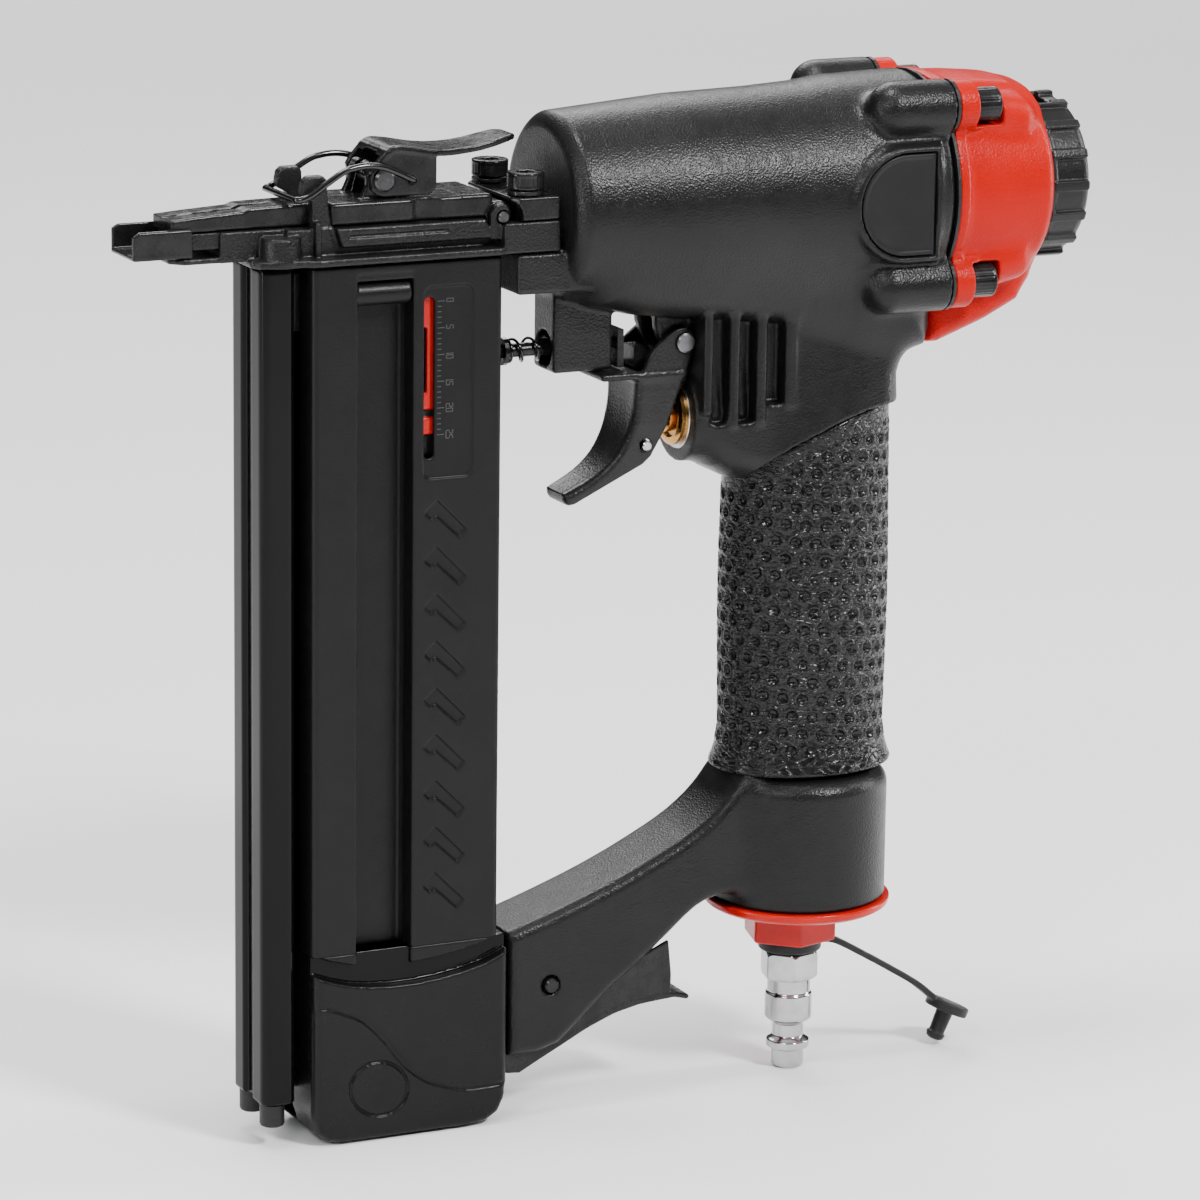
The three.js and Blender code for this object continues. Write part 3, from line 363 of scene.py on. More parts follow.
def coil(start, axis, length, radius, turns, wire, dead=1.0):
    """A spring with closed ends, along an axis."""
    t = np.linspace(0, 1, int(turns * 20))
    share = dead / turns
    low, high = 2 * wire * dead, length - 2 * wire * dead
    along = low + (high - low) * (t - share) / (1 - 2 * share)
    along = np.where(t < share, 2 * wire * turns * t, along)
    along = np.where(t > 1 - share, length - 2 * wire * turns * (1 - t), along)
    return sweep(on_axis(axis, along, radius, 2 * math.pi * turns * t) + np.array(start), wire, 8)


def spring(name, node, body, start, axis, length, wound, shader, slot):
    """A compression spring, wound from start along an axis; wound is (radius, turns, wire radius)."""
    points, faces = coil(start, axis, length, *wound)
    obj = dress(add_object(name, mesh_of(name, points, faces, sharp=60), body, node), shader, slot=slot)
    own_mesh(obj)


# ------------------------------------------------------------------ materials


class Shader:
    """A procedural material, laid out in millimetres of the object's own space."""

    def __init__(self, name, color, roughness, metallic=0.0, specular=0.5):
        self.material = bpy.data.materials.new(name)
        self.material.use_nodes = True
        self.tree = self.material.node_tree
        self.shader = self.tree.nodes["Principled BSDF"]
        self.color, self.roughness = color, roughness
        self.shader.inputs["Base Color"].default_value = (*color, 1)
        self.shader.inputs["Roughness"].default_value = roughness
        self.shader.inputs["Metallic"].default_value = metallic
        self.shader.inputs["Specular IOR Level"].default_value = specular
        self.place = self.add("ShaderNodeTexCoord").outputs["Object"]
        self.normal = None

    def add(self, kind, numbers=(), **settings):
        """A node with its settings, and the numbers on its sockets."""
        node = self.tree.nodes.new(kind)
        for key, value in settings.items():
            setattr(node, key, value)
        for key, value in dict(numbers).items():
            node.inputs[key].default_value = value
        return node

    def link(self, source, target):
        self.tree.links.new(source, target)

    def stretched(self, scale):
        mapping = self.add("ShaderNodeMapping", {"Scale": scale})
        self.link(self.place, mapping.inputs["Vector"])
        return mapping.outputs["Vector"]

    def noise(self, size, detail=3.0, stretch=(1, 1, 1)):
        node = self.add("ShaderNodeTexNoise", {"Scale": 1 / (size * MM), "Detail": detail,
            "Roughness": 0.55})
        self.link(self.stretched(stretch), node.inputs["Vector"])
        return node.outputs["Fac"]

    def cells(self, size, wander, feature="DISTANCE_TO_EDGE", stretch=(1, 1, 1)):
        """A cell pattern; its edges wander by some millimetres."""
        vector = self.stretched(stretch)
        noise = self.add("ShaderNodeTexNoise", {"Scale": 0.6 / (size * MM)})
        self.link(vector, noise.inputs["Vector"])
        moved = self.add("ShaderNodeVectorMath", {1: (wander * MM,) * 3}, operation="MULTIPLY_ADD")
        self.link(noise.outputs["Color"], moved.inputs[0])
        self.link(vector, moved.inputs[2])
        node = self.add("ShaderNodeTexVoronoi", {"Scale": 1 / (size * MM)}, feature=feature)
        self.link(moved.outputs[0], node.inputs["Vector"])
        return node.outputs["Distance"]

    def ranged(self, value, low, high, start=0.3, end=0.7):
        node = self.add("ShaderNodeMapRange", {"From Min": start, "From Max": end, "To Min": low,
            "To Max": high})
        self.link(value, node.inputs["Value"])
        return node.outputs["Result"]

    def bump(self, height, depth):
        """height is 0 to 1; depth is the relief in millimetres."""
        node = self.add("ShaderNodeBump", {"Strength": 1.0, "Distance": depth * MM})
        self.link(height, node.inputs["Height"])
        if self.normal:
            self.link(self.normal, node.inputs["Normal"])
        self.normal = node.outputs["Normal"]
        self.link(self.normal, self.shader.inputs["Normal"])

    def vary_roughness(self, value, spread):
        varied = self.ranged(value, self.roughness - spread, self.roughness + spread)
        self.link(varied, self.shader.inputs["Roughness"])

    def blend(self, other, mask):
        """Another colour over the base colour, where the mask is 1."""
        base = self.shader.inputs["Base Color"]
        mix = self.add("ShaderNodeMix", data_type="RGBA")
        mix.inputs["A"].default_value = (*self.color, 1)
        if base.is_linked:
            self.link(base.links[0].from_socket, mix.inputs["A"])
        mix.inputs["B"].default_value = (*other, 1)
        self.link(mask, mix.inputs["Factor"])
        self.link(mix.outputs["Result"], base)

    def vary_color(self, value, other):
        self.blend(other, self.ranged(value, 0, 1, 0.35, 0.75))

    def painted_crease_highlight(self, other):
        """Creases painted a little paler, as a painted highlight; the faces turn inwards, so a crease
        reads as the sharp side.
        """
        geometry = self.add("ShaderNodeNewGeometry")
        self.blend(other, self.ranged(geometry.outputs["Pointiness"], 0, 0.6, 0.57, 0.68))


def painted(name, color, roughness, grain, relief, lighter, specular=0.2):
    made = Shader(name, color, roughness, specular=specular)
    made.vary_color(made.noise(14, 4), lighter)
    made.vary_roughness(made.noise(3, 3), 0.05)
    made.bump(made.ranged(made.cells(grain, 0.5 * grain, "SMOOTH_F1"), 0, 1, 0.0, 0.8), relief)
    return made


def machined(name, color, roughness, metallic, streak=(1, 1, 12), relief=0.01):
    made = Shader(name, color, roughness, metallic, specular=0.3)
    made.vary_color(made.noise(6, 4), tuple(min(1.0, 1.35 * c + 0.01) for c in color))
    made.vary_roughness(made.noise(2.5, 4, stretch=streak), 0.07)
    made.bump(made.noise(0.35, 3, stretch=streak), relief)
    return made


def rubber(name, size, relief, color, roughness):
    made = Shader(name, color, roughness, specular=0.3)
    made.vary_color(made.noise(9, 4), tuple(1.7 * c for c in color))
    made.vary_roughness(made.noise(1.5, 3), 0.07)
    painted_crease_highlight = made.ranged(made.cells(size, 1.6 * size, stretch=(0.7, 0.7, 1.7)), 0, 1, 0.0, 0.14)
    made.bump(painted_crease_highlight, relief)
    made.bump(made.noise(0.5 * size, 3), 0.4 * relief)
    return made


BLACK = (0.0035, 0.0035, 0.0038)
powder = painted("powder_coat", BLACK, 0.34, 0.42, 0.085, (0.006, 0.006, 0.0063), specular=0.24)
cast = painted("cast_paint", (0.0045, 0.0045, 0.0048), 0.35, 0.46, 0.10, (0.008, 0.008, 0.0084),
    specular=0.28)
cover_paint = painted("cover_satin", (0.0042, 0.0042, 0.0045), 0.36, 0.5, 0.03, (0.006, 0.006, 0.0063),
    specular=0.18)
foot_plastic = painted("foot_plastic", (0.0036, 0.0036, 0.0038), 0.31, 0.5, 0.02, (0.005, 0.005, 0.0053),
    specular=0.18)
# The creases of the cover's paint are painted paler, as painted highlight.
cover_paint.painted_crease_highlight((0.05, 0.05, 0.05))
plastic = painted("black_plastic", (0.0065, 0.0065, 0.0068), 0.34, 0.45, 0.05, (0.010, 0.010, 0.0105),
    specular=0.26)
gloss = painted("gloss_black", (0.0016, 0.0016, 0.0017), 0.11, 2.5, 0.004, (0.0026, 0.0026, 0.0028),
    specular=0.13)
wire = painted("black_wire", (0.002, 0.002, 0.0021), 0.16, 2.5, 0.004, (0.0032, 0.0032, 0.0034),
    specular=0.5)
trigger_paint = painted("trigger_cast", (0.0065, 0.0065, 0.0068), 0.34, 0.6, 0.07,
    (0.0105, 0.0105, 0.011), specular=0.26)
# The creases of the trigger's paint are painted paler, as painted highlight.
trigger_paint.painted_crease_highlight((0.08, 0.08, 0.08))
oxide = machined("black_oxide", (0.0045, 0.0045, 0.0048), 0.25, 0.2, (1, 1, 1), 0.010)
screw_oxide = machined("screw_oxide", (0.007, 0.007, 0.0075), 0.24, 0.4, (1, 1, 1), 0.006)
dark_steel = machined("dark_steel", (0.06, 0.06, 0.062), 0.3, 0.9, (1, 1, 1), 0.006)
dull_steel = machined("dull_steel", (0.13, 0.13, 0.135), 0.32, 1.0, (1, 1, 1), 0.006)
pin_steel = machined("pin_steel", (0.42, 0.42, 0.43), 0.28, 1.0, (1, 1, 1), 0.004)
steel = machined("ground_steel", (0.4, 0.4, 0.41), 0.3, 1.0)
brass = machined("brass", (0.50, 0.26, 0.07), 0.22, 1.0, (12, 1, 1), 0.004)
chrome = machined("chrome", (0.40, 0.40, 0.41), 0.13, 1.0, (1, 1, 14), 0.003)
grip_rubber = rubber("grip_rubber", 2.2, 0.16, (0.0032, 0.0032, 0.0034), 0.27)
soft_rubber = rubber("soft_rubber", 0.8, 0.03, (0.006, 0.006, 0.0064), 0.42)
red = painted("red_cap", (0.37, 0.0016, 0.0003), 0.33, 0.5, 0.08, (0.41, 0.002, 0.0004), specular=0.11)
red_gloss = painted("red_gloss", (0.38, 0.0018, 0.0003), 0.2, 2.0, 0.01, (0.5, 0.005, 0.001),
    specular=0.25)
badge_face = painted("badge_face", (0.0075, 0.0075, 0.008), 0.42, 0.3, 0.02, (0.011, 0.011, 0.0115))
ink = painted("scale_ink", (0.05, 0.05, 0.05), 0.35, 0.5, 0.005, (0.07, 0.07, 0.07))


def dress(obj, *shaders, slot=None):
    obj.data.materials.clear()
    for shader in shaders:
        obj.data.materials.append(shader.material)
    return obj


# ------------------------------------------------------------------ housing

AXIS_Z = 211.0
BARREL_END = 171.9
SCREWS = [(-20, AXIS_Z + 21.4), (20, AXIS_Z + 21.4), (-20, AXIS_Z - 21.4), (20, AXIS_Z - 21.4)]
HANDLE_X = 146.8
VALVE_Z = 158.5
TRIGGER_PIVOT = (109.1, 177.4)
LATCH_PIN = (74.7, 21.7)
ROD_Z = 176.8
NOSE_SCREW = (66.2, 10.1)


def inward(y, z, share):
    """A place moved towards the barrel's axis, to a share of its distance."""
    return share * y, AXIS_Z + share * (z - AXIS_Z)


def handle_oval(f, depth, width, scale):
    """Near enough the distance to the handle's oval section."""
    return (np.sqrt(((f.x - HANDLE_X) / depth) ** 2 + (f.y / width) ** 2) - 1) * scale


def d_outline(radius):
    """The badge's outline in x and z: round in front, flat behind."""
    arc = [(158.8 - radius * math.cos(t), AXIS_Z - 0.7 + radius * math.sin(t))
        for t in np.linspace(-math.pi / 2, math.pi / 2, 25)]
    flat = 153.8 + radius
    return arc + [(flat, AXIS_Z - 0.7 + radius), (flat, AXIS_Z - 0.7 - radius)]


def barrel(f):
    body = turned(f, "x", (0, AXIS_Z), [(75, 20.6), (77.8, 22.6), (108, 25), (130, 25.6), (142, 26.3),
        (150, 27.3), (BARREL_END, 28)], r=2.2)
    belly = prism(f, "y", [(84, 200), (86, 189.5), (95, 186), (119, 182.9), (150, 178.2),
        (BARREL_END, 173.6), (BARREL_END, 200)], (-16, 16), r=6.5)
    lobes = [union(capsule(f, (158.2, y, z), (176, y, z), 6.7), capsule(f, (157.2, *inward(y, z, 0.76)),
        (176, *inward(y, z, 0.76)), 6.6), k=1.5) for y, z in SCREWS]
    shape = union(body, belly, k=8)
    for lobe in lobes:
        shape = union(shape, lobe, k=3.2)
    pads = union(*[prism(f, "y", d_outline(14.1), (side * 23.8 - 3.9, side * 23.8 + 3.9), r=1.2)
        for side in (-1, 1)])
    shape = union(shape, pads, k=2.2)
    for side in (-1, 1):
        shape = cut(shape, prism(f, "y", d_outline(12.7), on(side, 26.5, 31), r=0.2))
    return np.maximum(shape, f.x - BARREL_END)


SEAM = [(118, 140.5), (125.6, 142.9), (126.6, 144.2), (128.6, 146.1), (131.9, 148.4), (135.7, 150.6),
    (139.9, 152.7), (144.6, 154.9), (149.5, 156.8), (155, 158.3), (162.5, 159.2), (170, 159.2)]


def neck(f):
    """The handle's upper part, from the barrel down to the rubber's slanted edge."""
    seam = np.interp(f.x, *zip(*SEAM)) + 0.2
    body = prism(f, "y", [(112.6, 200), (112.6, 153), (113.4, 150), (116.2, 146.4), (120.5, 143.6),
        (126, 141.8), (165.2, 141.8), (165.8, 152), (166.2, 166), (168.2, 171.5), (172, 176),
        (BARREL_END, 200)], (-14.1, 14.1), corner=1.5, r=np.maximum(np.interp(f.x, [124, 142, 166],
        [3, 5, 6.5]), np.interp(f.z, [143, 150, 163], [9, 7.5, 3])))
    oval = handle_oval(f, 21.2, 16.8, 18)
    above = np.maximum(f.z - seam, 0)
    collar = np.maximum(oval + 0.22 * above, above - 32)
    body = meet(union(body, collar, k=5), seam - f.z, 0.4)
    boss = rod(f, "x", (0, VALVE_Z), 11.8, (111, 126), r=0.6)
    shape = union(body, boss, k=2.5)
    pockets = []
    for side in (-1, 1):
        wall = on(side, 10.4, 22)
        pockets += [box(f, (114.2, 118.5), wall, (157.6, 196), r=1.5), box(f, (121.3, 125.8), wall,
            (157.6, 196), r=0.9), box(f, (128.7, 133.6), wall, (161.6, 196), r=0.9)]
    shape = cut(shape, *pockets, k=0.7)
    tongues = [capsule(f, (x, side * 10.2, 159.5), (x, side * 8.6, 172), 1.5) for side in (-1, 1)
        for x in (116.6, 123.4)]
    fins = [box(f, (x, x + w), (-14.9, 14.9), (z0, 196), r=1.0) for x, w,
        z0 in ((111.7, 2.3, 160), (118.8, 2.3, 156.5), (125.9, 2.5, 156.8), (133.5, 3.2, 160.5))]
    shape = union(shape, *fins, *tongues, k=0.8)
    cheeks = prism(f, "y", [(102.6, 196), (102.6, 181), (105, 174.5), (108, 173), (116, 168),
        (116, 196)], (-6.6, 6.6), r=0.5)
    return cut(union(shape, cheeks, k=0.8), box(f, (98, 107.2), (-3.6, 3.6), (166, 183), r=0.3))


def arm(f):
    top = curve_points([(63.4, 35.6), (77, 39.9), (91.3, 45.1), (103, 50.3), (112.8, 55.4),
        (119.5, 60.2), (124.6, 65.5), (128, 70)], 40)
    low = curve_points([(140, 36), (127, 38.6), (116.1, 37.4), (106, 29.8), (99, 24), (91.6, 18.6),
        (84, 11.9), (77.4, 6.2)], 30)
    outline = [tuple(q) for q in top] + [(140, 70)] + [tuple(q) for q in low] + [(72, 4.6), (63.4, 4.4)]
    sides = prism(f, "y", outline, (-11, 11), r=2.6)
    groove = prism(f, "y", [(60, 31), (77, 35), (91, 40.5), (103, 45.5), (109, 47.5), (111.5, 44),
        (111.5, 0), (60, 0)], (-8.6, 8.6), r=0)
    return cut(sides, groove, k=0.5)


def housing():
    f = around("main_housing", 0.55, 0.6)
    core = meet(handle_oval(f, 19.2, 14.7, 16.5), slab(f.z, 58, 150))
    base = meet(rod(f, "z", (HANDLE_X, 0), 21.9, (20, 67.4), r=4.2), 34.6 - f.z, 0.5)
    rear = np.interp(f.x, [112, 134, 141, 152], [0.8, 0.9, 4.5, 7])
    shape = union(barrel(f), union(neck(f), core, k=1.5), k=rear)
    block = box(f, (76, 91.4), (-6, 6), (171.5, 196), r=0.9)
    lug = box(f, (62.7, 82), (-14.5, 14.5), (192.7, 202.3), r=0.8)
    shape = union(shape, union(block, lug, k=0.6), k=1.2)
    shape = union(shape, union(base, arm(f), k=3.6))
    shape = union(shape, box(f, (56.4, 70), (-3.7, 3.7), (26, 35), r=0.5))
    holes = [rod(f, "x", (0, AXIS_Z), 20, (80, 175)), rod(f, "x", (0, 209.3), 3.3, (70, 82)),
        rod(f, "z", (HANDLE_X, 0), 11.5, (30, 182)), box(f, (138.8, 175), (-7.5, 7.5), (177.5, 187.5)),
        rod(f, "z", (HANDLE_X, 0), 14, (30, 47)), rod(f, "x", (0, VALVE_Z), 7.1, (108, 137)),
        rod(f, "x", (0, ROD_Z), 2.1, (74, 93)), rod(f, "x", (0, ROD_Z), 4.5, (74, 86)),
        rod(f, "y", TRIGGER_PIVOT, 2.1, (-12, 12)), rod(f, "y", LATCH_PIN, 2.3, (-14, 14))]
    holes += [rod(f, "z", (NOSE_SCREW[0], side * NOSE_SCREW[1]), 2.6, (190, 204)) for side in (-1, 1)]
    holes += [rod(f, "x", place, 2.5, (156, 175)) for place in SCREWS]
    obj = add_object("housing", surface("housing", f, cut(shape, *holes)), "frame", "main_housing")
    dress(obj, powder, cast, slot="cast_black")
    centres = face_centres(obj.data)
    nose_end = (centres[:, 0] < 74.6) & (centres[:, 2] > 192)
    block_faces = (centres[:, 0] < 91.6) & (centres[:, 2] > 170) & (centres[:,
        2] < 187) & (np.abs(centres[:, 1]) < 6.2)
    paint(obj, (nose_end | block_faces))


def badges():
    for side, name in ((-1, "badge_left"), (1, "badge_right")):
        f = around(name, 0.3, 0.5)
        plate = prism(f, "y", d_outline(12.3), on(side, 26.7, 27.4), r=0.3)
        rim = np.maximum(plate, -prism(f, "y", d_outline(11.4), (-30, 30)))
        rim = union(rim, prism(f, "y", d_outline(11.9), on(side, 26.8, 27.15)), k=0.2)
        piece(name + "_plate", f, rim, "frame", name, "plastic_black", badge_face)


def grip():
    f = around("rubber_grip", 0.34, 1.5)
    depth, width = 21.0, 16.6
    u, v = (f.x - HANDLE_X) / depth, f.y / width
    swell = 0.5 * np.exp(-((f.z - 112) / 26) ** 2) + 2.5 * np.clip((80 - f.z) / 12, 0, 1) ** 2
    oval = (np.sqrt(u ** 2 + v ** 2) - 1) * 0.5 * (depth + width) * 0.94 - swell
    low = np.full(f.x.shape, 68.3, np.float32)
    high = np.interp(f.x, *zip(*SEAM))
    shape = meet(meet(oval, low - f.z, 1.1), f.z - high, 0.8)
    angle = np.arctan2(v, u)
    girth = 2 * math.pi * 18.9
    columns = 26
    pitch = girth / columns
    row_height = 4.35
    turn = angle / (2 * math.pi) * columns
    lift = f.z + 1.1 * np.cos(angle) * 2
    row = np.round(lift / row_height)
    dz = lift - row * row_height
    shifted = turn + 0.5 * (row % 2)
    du = (shifted - np.round(shifted)) * pitch
    spot = np.sqrt(du ** 2 + dz ** 2)
    fade = np.clip((high - 4.2 - f.z) / 1.5, 0, 1) * np.clip((f.z - low - 5.0) / 1.5, 0, 1)
    dimple = 0.8 * np.sqrt(np.clip(1 - (spot / 1.3) ** 2, 0, 1)) * fade
    dimple = dimple - 0.24 * np.exp(-((spot - 1.7) / 0.4) ** 2) * fade
    inner = handle_oval(f, 19.2, 14.7, 16.5) - 0.3
    shape = np.maximum(shape + dimple, -inner)
    piece("grip_sleeve", f, shape, "frame", "rubber_grip", "rubber_black", grip_rubber)


housing()
badges()
grip()

# ------------------------------------------------------------------ end cap and exhaust

CAP_FRONT = 173.3
SCREW_SEAT = 178.6
KNOB_FRONT = 202.3


def rear_cap():
    f = around("rear_cap", 0.42, 0.6)
    body = turned(f, "x", (0, AXIS_Z), [(CAP_FRONT, 27.1), (175.4, 26.9), (175.8, 26.5), (178, 25.9),
        (190, 25), (199, 24.3), (202, 23.2)], r=2.4)
    front = rod(f, "x", (0, AXIS_Z), 27.1, (CAP_FRONT, 176))
    chin = prism(f, "y", [(CAP_FRONT, 200), (CAP_FRONT, 173), (177, 172.9), (190, 177.6), (199, 182),
        (202, 187.5), (202, 200)], (-12.5, 12.5), r=4, corner=1.5)
    crown = prism(f, "y", [(CAP_FRONT, 222), (CAP_FRONT, 236.8), (186, 236.6), (194, 235.9),
        (199, 233.5), (202, 229), (202, 222)], (-13.5, 13.5), r=4, corner=1.5)
    shape = union(union(body, front), chin, crown, k=5)
    for y, z in SCREWS:
        lane = union(capsule(f, (168, y, z), (SCREW_SEAT, y, z), 6.3), capsule(f,
            (168, *inward(y, z, 0.72)), (192, *inward(y, z, 0.72)), 6.6), k=2)
        tail = capsule(f, (186, *inward(y, z, 0.86)), (193, *inward(y, z, 0.80)), 5.4)
        lane = union(np.maximum(lane, f.x - 194), tail, k=2)
        shape = union(shape, lane, k=2.6)
    for y, z in SCREWS:
        side = math.copysign(1, y)
        seat = union(rod(f, "x", (y, z), 4.8, (SCREW_SEAT, 187.0), r=0.5),
            box(f, (SCREW_SEAT, 187.0), on(side, 20, 36), (z - 4.8, z + 4.8), r=0.5))
        up = math.copysign(1, z - AXIS_Z)
        seat = union(seat, box(f, (SCREW_SEAT, 187.0), (y - 4.8 if side > 0 else y - 12,
            y + 12 if side > 0 else y + 4.8), tuple(sorted((z, z + up * 12))), r=0.5))
        shape = cut(shape, seat, rod(f, "x", (y, z), 2.5, (170, 180)), k=0.5)
    shape = np.maximum(shape, CAP_FRONT - f.x)
    vents = [rod(f, "x", (11 * math.cos(t), AXIS_Z + 11 * math.sin(t)), 3, (190, 206))
        for t in np.arange(6) * math.pi / 3]
    shape = cut(shape, rod(f, "x", (0, AXIS_Z), 21.4, (168, 196)), box(f, (168, 190), (-7.5, 7.5),
        (178, 192)), rod(f, "x", (0, AXIS_Z), 2.4, (190, 206)), *vents)
    piece("end_cap", f, shape, "frame", "rear_cap", "cap_red", red)


def deflector():
    f = around("exhaust_deflector", 0.32, 0.6)
    y, z = f.y, f.z - AXIS_Z
    radius, angle = np.sqrt(y ** 2 + z ** 2), np.arctan2(z, y)
    body = turned(f, "x", (0, AXIS_Z), [(KNOB_FRONT, 19.4), (211.5, 19.4), (214, 18.6)], r=1.6)
    ribs = 16
    phase = angle / (2 * math.pi) * ribs
    across = np.abs(phase - np.round(phase)) * 2 * math.pi / ribs * radius
    rib = np.maximum(np.maximum(across - 1.15, radius - 20.6), 15 - radius)
    rib = meet(rib, slab(f.x, 202.8, 212.9), 0.7)
    collar = rod(f, "x", (0, AXIS_Z), 20.1, (KNOB_FRONT, 204.0), r=0.5)
    shape = union(body, collar, rib, k=0.6)
    chamber = np.maximum(rod(f, "x", (0, AXIS_Z), 16, (198, 208.5)), -rod(f, "x", (0, AXIS_Z), 5,
        (198, 210)))
    shape = cut(shape, chamber, rod(f, "x", (0, AXIS_Z), 2.6, (198, 216)),
        rod(f, "x", (0, AXIS_Z), 5, (211.2, 216)), box(f, (204.6, 208.4), (-8, 8), (221, 240), r=0.8))
    rings = 0.25 * np.exp(-((radius - 13) / 0.5) ** 2) * (f.x > 211)
    piece("exhaust_knob", f, shape + rings, "deflector", "exhaust_deflector", "plastic_black", plastic)


def socket_screw(name, node, axis, seat, centre, head_r, head, shank_r, shank, socket):
    """A cap screw with a knurled head; its underside is at seat and it points along -axis."""
    f = around(node, 0.2, 0.4)
    along, u, v = f.axes(axis)
    radius = np.sqrt((u - centre[0]) ** 2 + (v - centre[1]) ** 2)
    angle = np.arctan2(v - centre[1], u - centre[0])
    knurl = 0.11 * np.abs(np.sin(14 * angle)) * ((along - seat > 0.7) & (along - seat < head - 0.8))
    top = meet(radius - head_r + knurl, slab(along, seat, seat + head), 0.35)
    stem = rod(f, axis, centre, shank_r, (seat - shank, seat + 0.5), r=0.3)
    hexagon = [(centre[0] + socket * math.cos(t), centre[1] + socket * math.sin(t)) for t in np.arange(6)
        * math.pi / 3]
    shape = cut(union(top, stem), prism(f, axis, hexagon, (seat + head * 0.45, seat + head + 2)))
    piece(name, f, shape, "frame", node, "steel_black", screw_oxide)


rear_cap()
deflector()
for number, place in enumerate(SCREWS, 1):
    socket_screw(f"end_screw_{number}", f"cap_screw_{number}", "x", 178.9, place, 4.2, 6.8, 2.1, 20.5,
        2.1)
socket_screw("knob_screw", "deflector_screw", "x", 211.5, (0, AXIS_Z), 4.4, 2.3, 2.1, 14.5, 2.1)

# ------------------------------------------------------------------ nose

HINGE = (59.7, 211.2)
LEVER_PIN = (31.2, 220.9)


def nose_body():
    f = around("nose_body", 0.3, 0.5)
    flange = prism(f, "z", [(-2.5, -9), (-1, -11.8), (3, -13.2), (9.5, -13.4), (11, -14.5), (59, -14.5),
        (59, 14.5), (10, 14.5), (4, 12), (-2.5, 9)], (202.6, 204.3), r=0.4)
    tip = prism(f, "z", [(-20.8, -4.2), (-18, -7.1), (0, -7.1), (0, 7.1), (-18, 7.1), (-20.8, 4.2)],
        (203.9, 205.2), r=0.35)
    core = box(f, (-19.4, 8), (-5.9, 5.9), (206.9, 210.9), r=0.3)
    middle = box(f, (-9, 8), (-7.1, 7.1), (204, 210.9), r=0.4)
    body = box(f, (6.6, 60), (-9.6, 9.6), (204, 210.9), r=0.4)
    sides = prism(f, "y", [(17.9, 210.9), (19.4, 206.4), (56.8, 206.4), (56.8, 208.4), (55.5, 210.9)],
        (-12, 12), r=0.4)
    groove = union(*[box(f, (21, 46), on(side, 11.5, 13), (208.6, 209.2), r=0.1) for side in (-1, 1)])
    boss = turned(f, "z", (5.2, -8.6), [(202.6, 4.8), (209.4, 4.5)], r=0.7)
    rear = box(f, (59.2, 73.6), (-14.5, 14.5), (202.7, 210), r=0.5)
    shape = union(flange, tip, core, middle, body, cut(sides, groove), boss, rear, k=0.5)
    for side in (-1, 1):
        span = on(side, 6.2, 9.2)
        hook = prism(f, "y", [(12.9, 204.5), (12.9, 217), (10.5, 218.3), (10.4, 220), (10.8, 222),
            (12, 223), (15.6, 223), (16.6, 222), (16.7, 219), (16.9, 216.5), (18, 211),
            (18.6, 204.5)], span, r=0.5, corner=0.7)
        web = box(f, (12.9, 14.4), on(side, 8, 11.4), (204.5, 212.5), r=0.3)
        ear = prism(f, "y", [(56.6, 206), (56.6, 212), (58, 214), (59.7, 214.6), (61.2, 213.6),
            (61.2, 206)], on(side, 10.4, 12.4), r=0.4)
        shape = union(shape, hook, web, ear, k=0.5)
    holes = [box(f, (-21, 75), (-1.7, 1.7), (208.1, 214)), box(f, (8.6, 59.4), (-1, 1), (200, 209)),
        rod(f, "y", HINGE, 3.9, (-10.3, 10.3)), rod(f, "y", HINGE, 1.7, (-14, 14))]
    holes += [rod(f, "z", (NOSE_SCREW[0], side * NOSE_SCREW[1]), 2.6, (200, 214)) for side in (-1, 1)]
    piece("nose_casting", f, cut(shape, *holes, k=0.15), "frame", "nose_body", "cast_black", cast)


def clamp_plate():
    f = around("nose_clamp_plate", 0.28, 0.5)
    plate = prism(f, "z", [(61.5, -12.4), (63, -14.5), (73.3, -14.5), (73.3, 14.5), (63, 14.5),
        (61.5, 12.4)], (210.3, 215.8), r=0.5)
    holes = [rod(f, "y", HINGE, 4.2, (-20, 20))]
    holes += [rod(f, "z", (NOSE_SCREW[0], side * NOSE_SCREW[1]), 2.6, (205, 220)) for side in (-1, 1)]
    piece("clamp_plate", f, cut(plate, *holes), "frame", "nose_clamp_plate", "steel_black", oxide)


def nose_door():
    f = around("nose_door", 0.28, 0.5)
    front = prism(f, "y", [(-20.6, 211.2), (19.5, 211.2), (19.5, 216.2), (12.8, 216.2), (-1.5, 215.9),
        (-3, 215.3), (-14, 214.7), (-20.6, 214.2)], (-6, 6), r=0.4)
    rear = box(f, (17.4, 58), (-10, 10), (211.2, 216.5), r=0.8)
    back = prism(f, "y", [(50, 211.2), (57, 211.2), (58.4, 213.5), (57, 216.5), (50, 216.5)], (-10, 10),
        r=0.8)
    ridge = box(f, (-19, 56), (-1.4, 1.4), (209.9, 212))
    knuckle = rod(f, "y", HINGE, 3.5, (-10, 10), r=0.4)
    shape = union(front, rear, back, ridge, knuckle, k=0.4)
    for side in (-1, 1):
        ear = union(rod(f, "y", LEVER_PIN, 3.5, on(side, 4.6, 6.4), r=0.3),
            prism(f, "y", [(25.4, 215), (27.6, 219.5), (28.4, 222), (34, 222), (34.9, 219.5),
            (35.4, 215)], on(side, 4.6, 6.4), r=0.3), k=0.5)
        shape = union(shape, ear, k=0.6)
        shape = cut(shape, rod(f, "z", (41, side * 14.3), 5.6, (205, 222)), k=0.4)
    holes = [rod(f, "y", LEVER_PIN, 2.0, (-8, 8)), rod(f, "y", HINGE, 1.7, (-12, 12)),
        box(f, (55.9, 66), (-1.9, 1.9), (206, 212.2)), box(f, (-22, 6), (-0.9, 0.9), (214.0, 218), r=0.2)]
    piece("door_plate", f, cut(shape, *holes, k=0.1), "door", "nose_door", "steel_black", oxide)


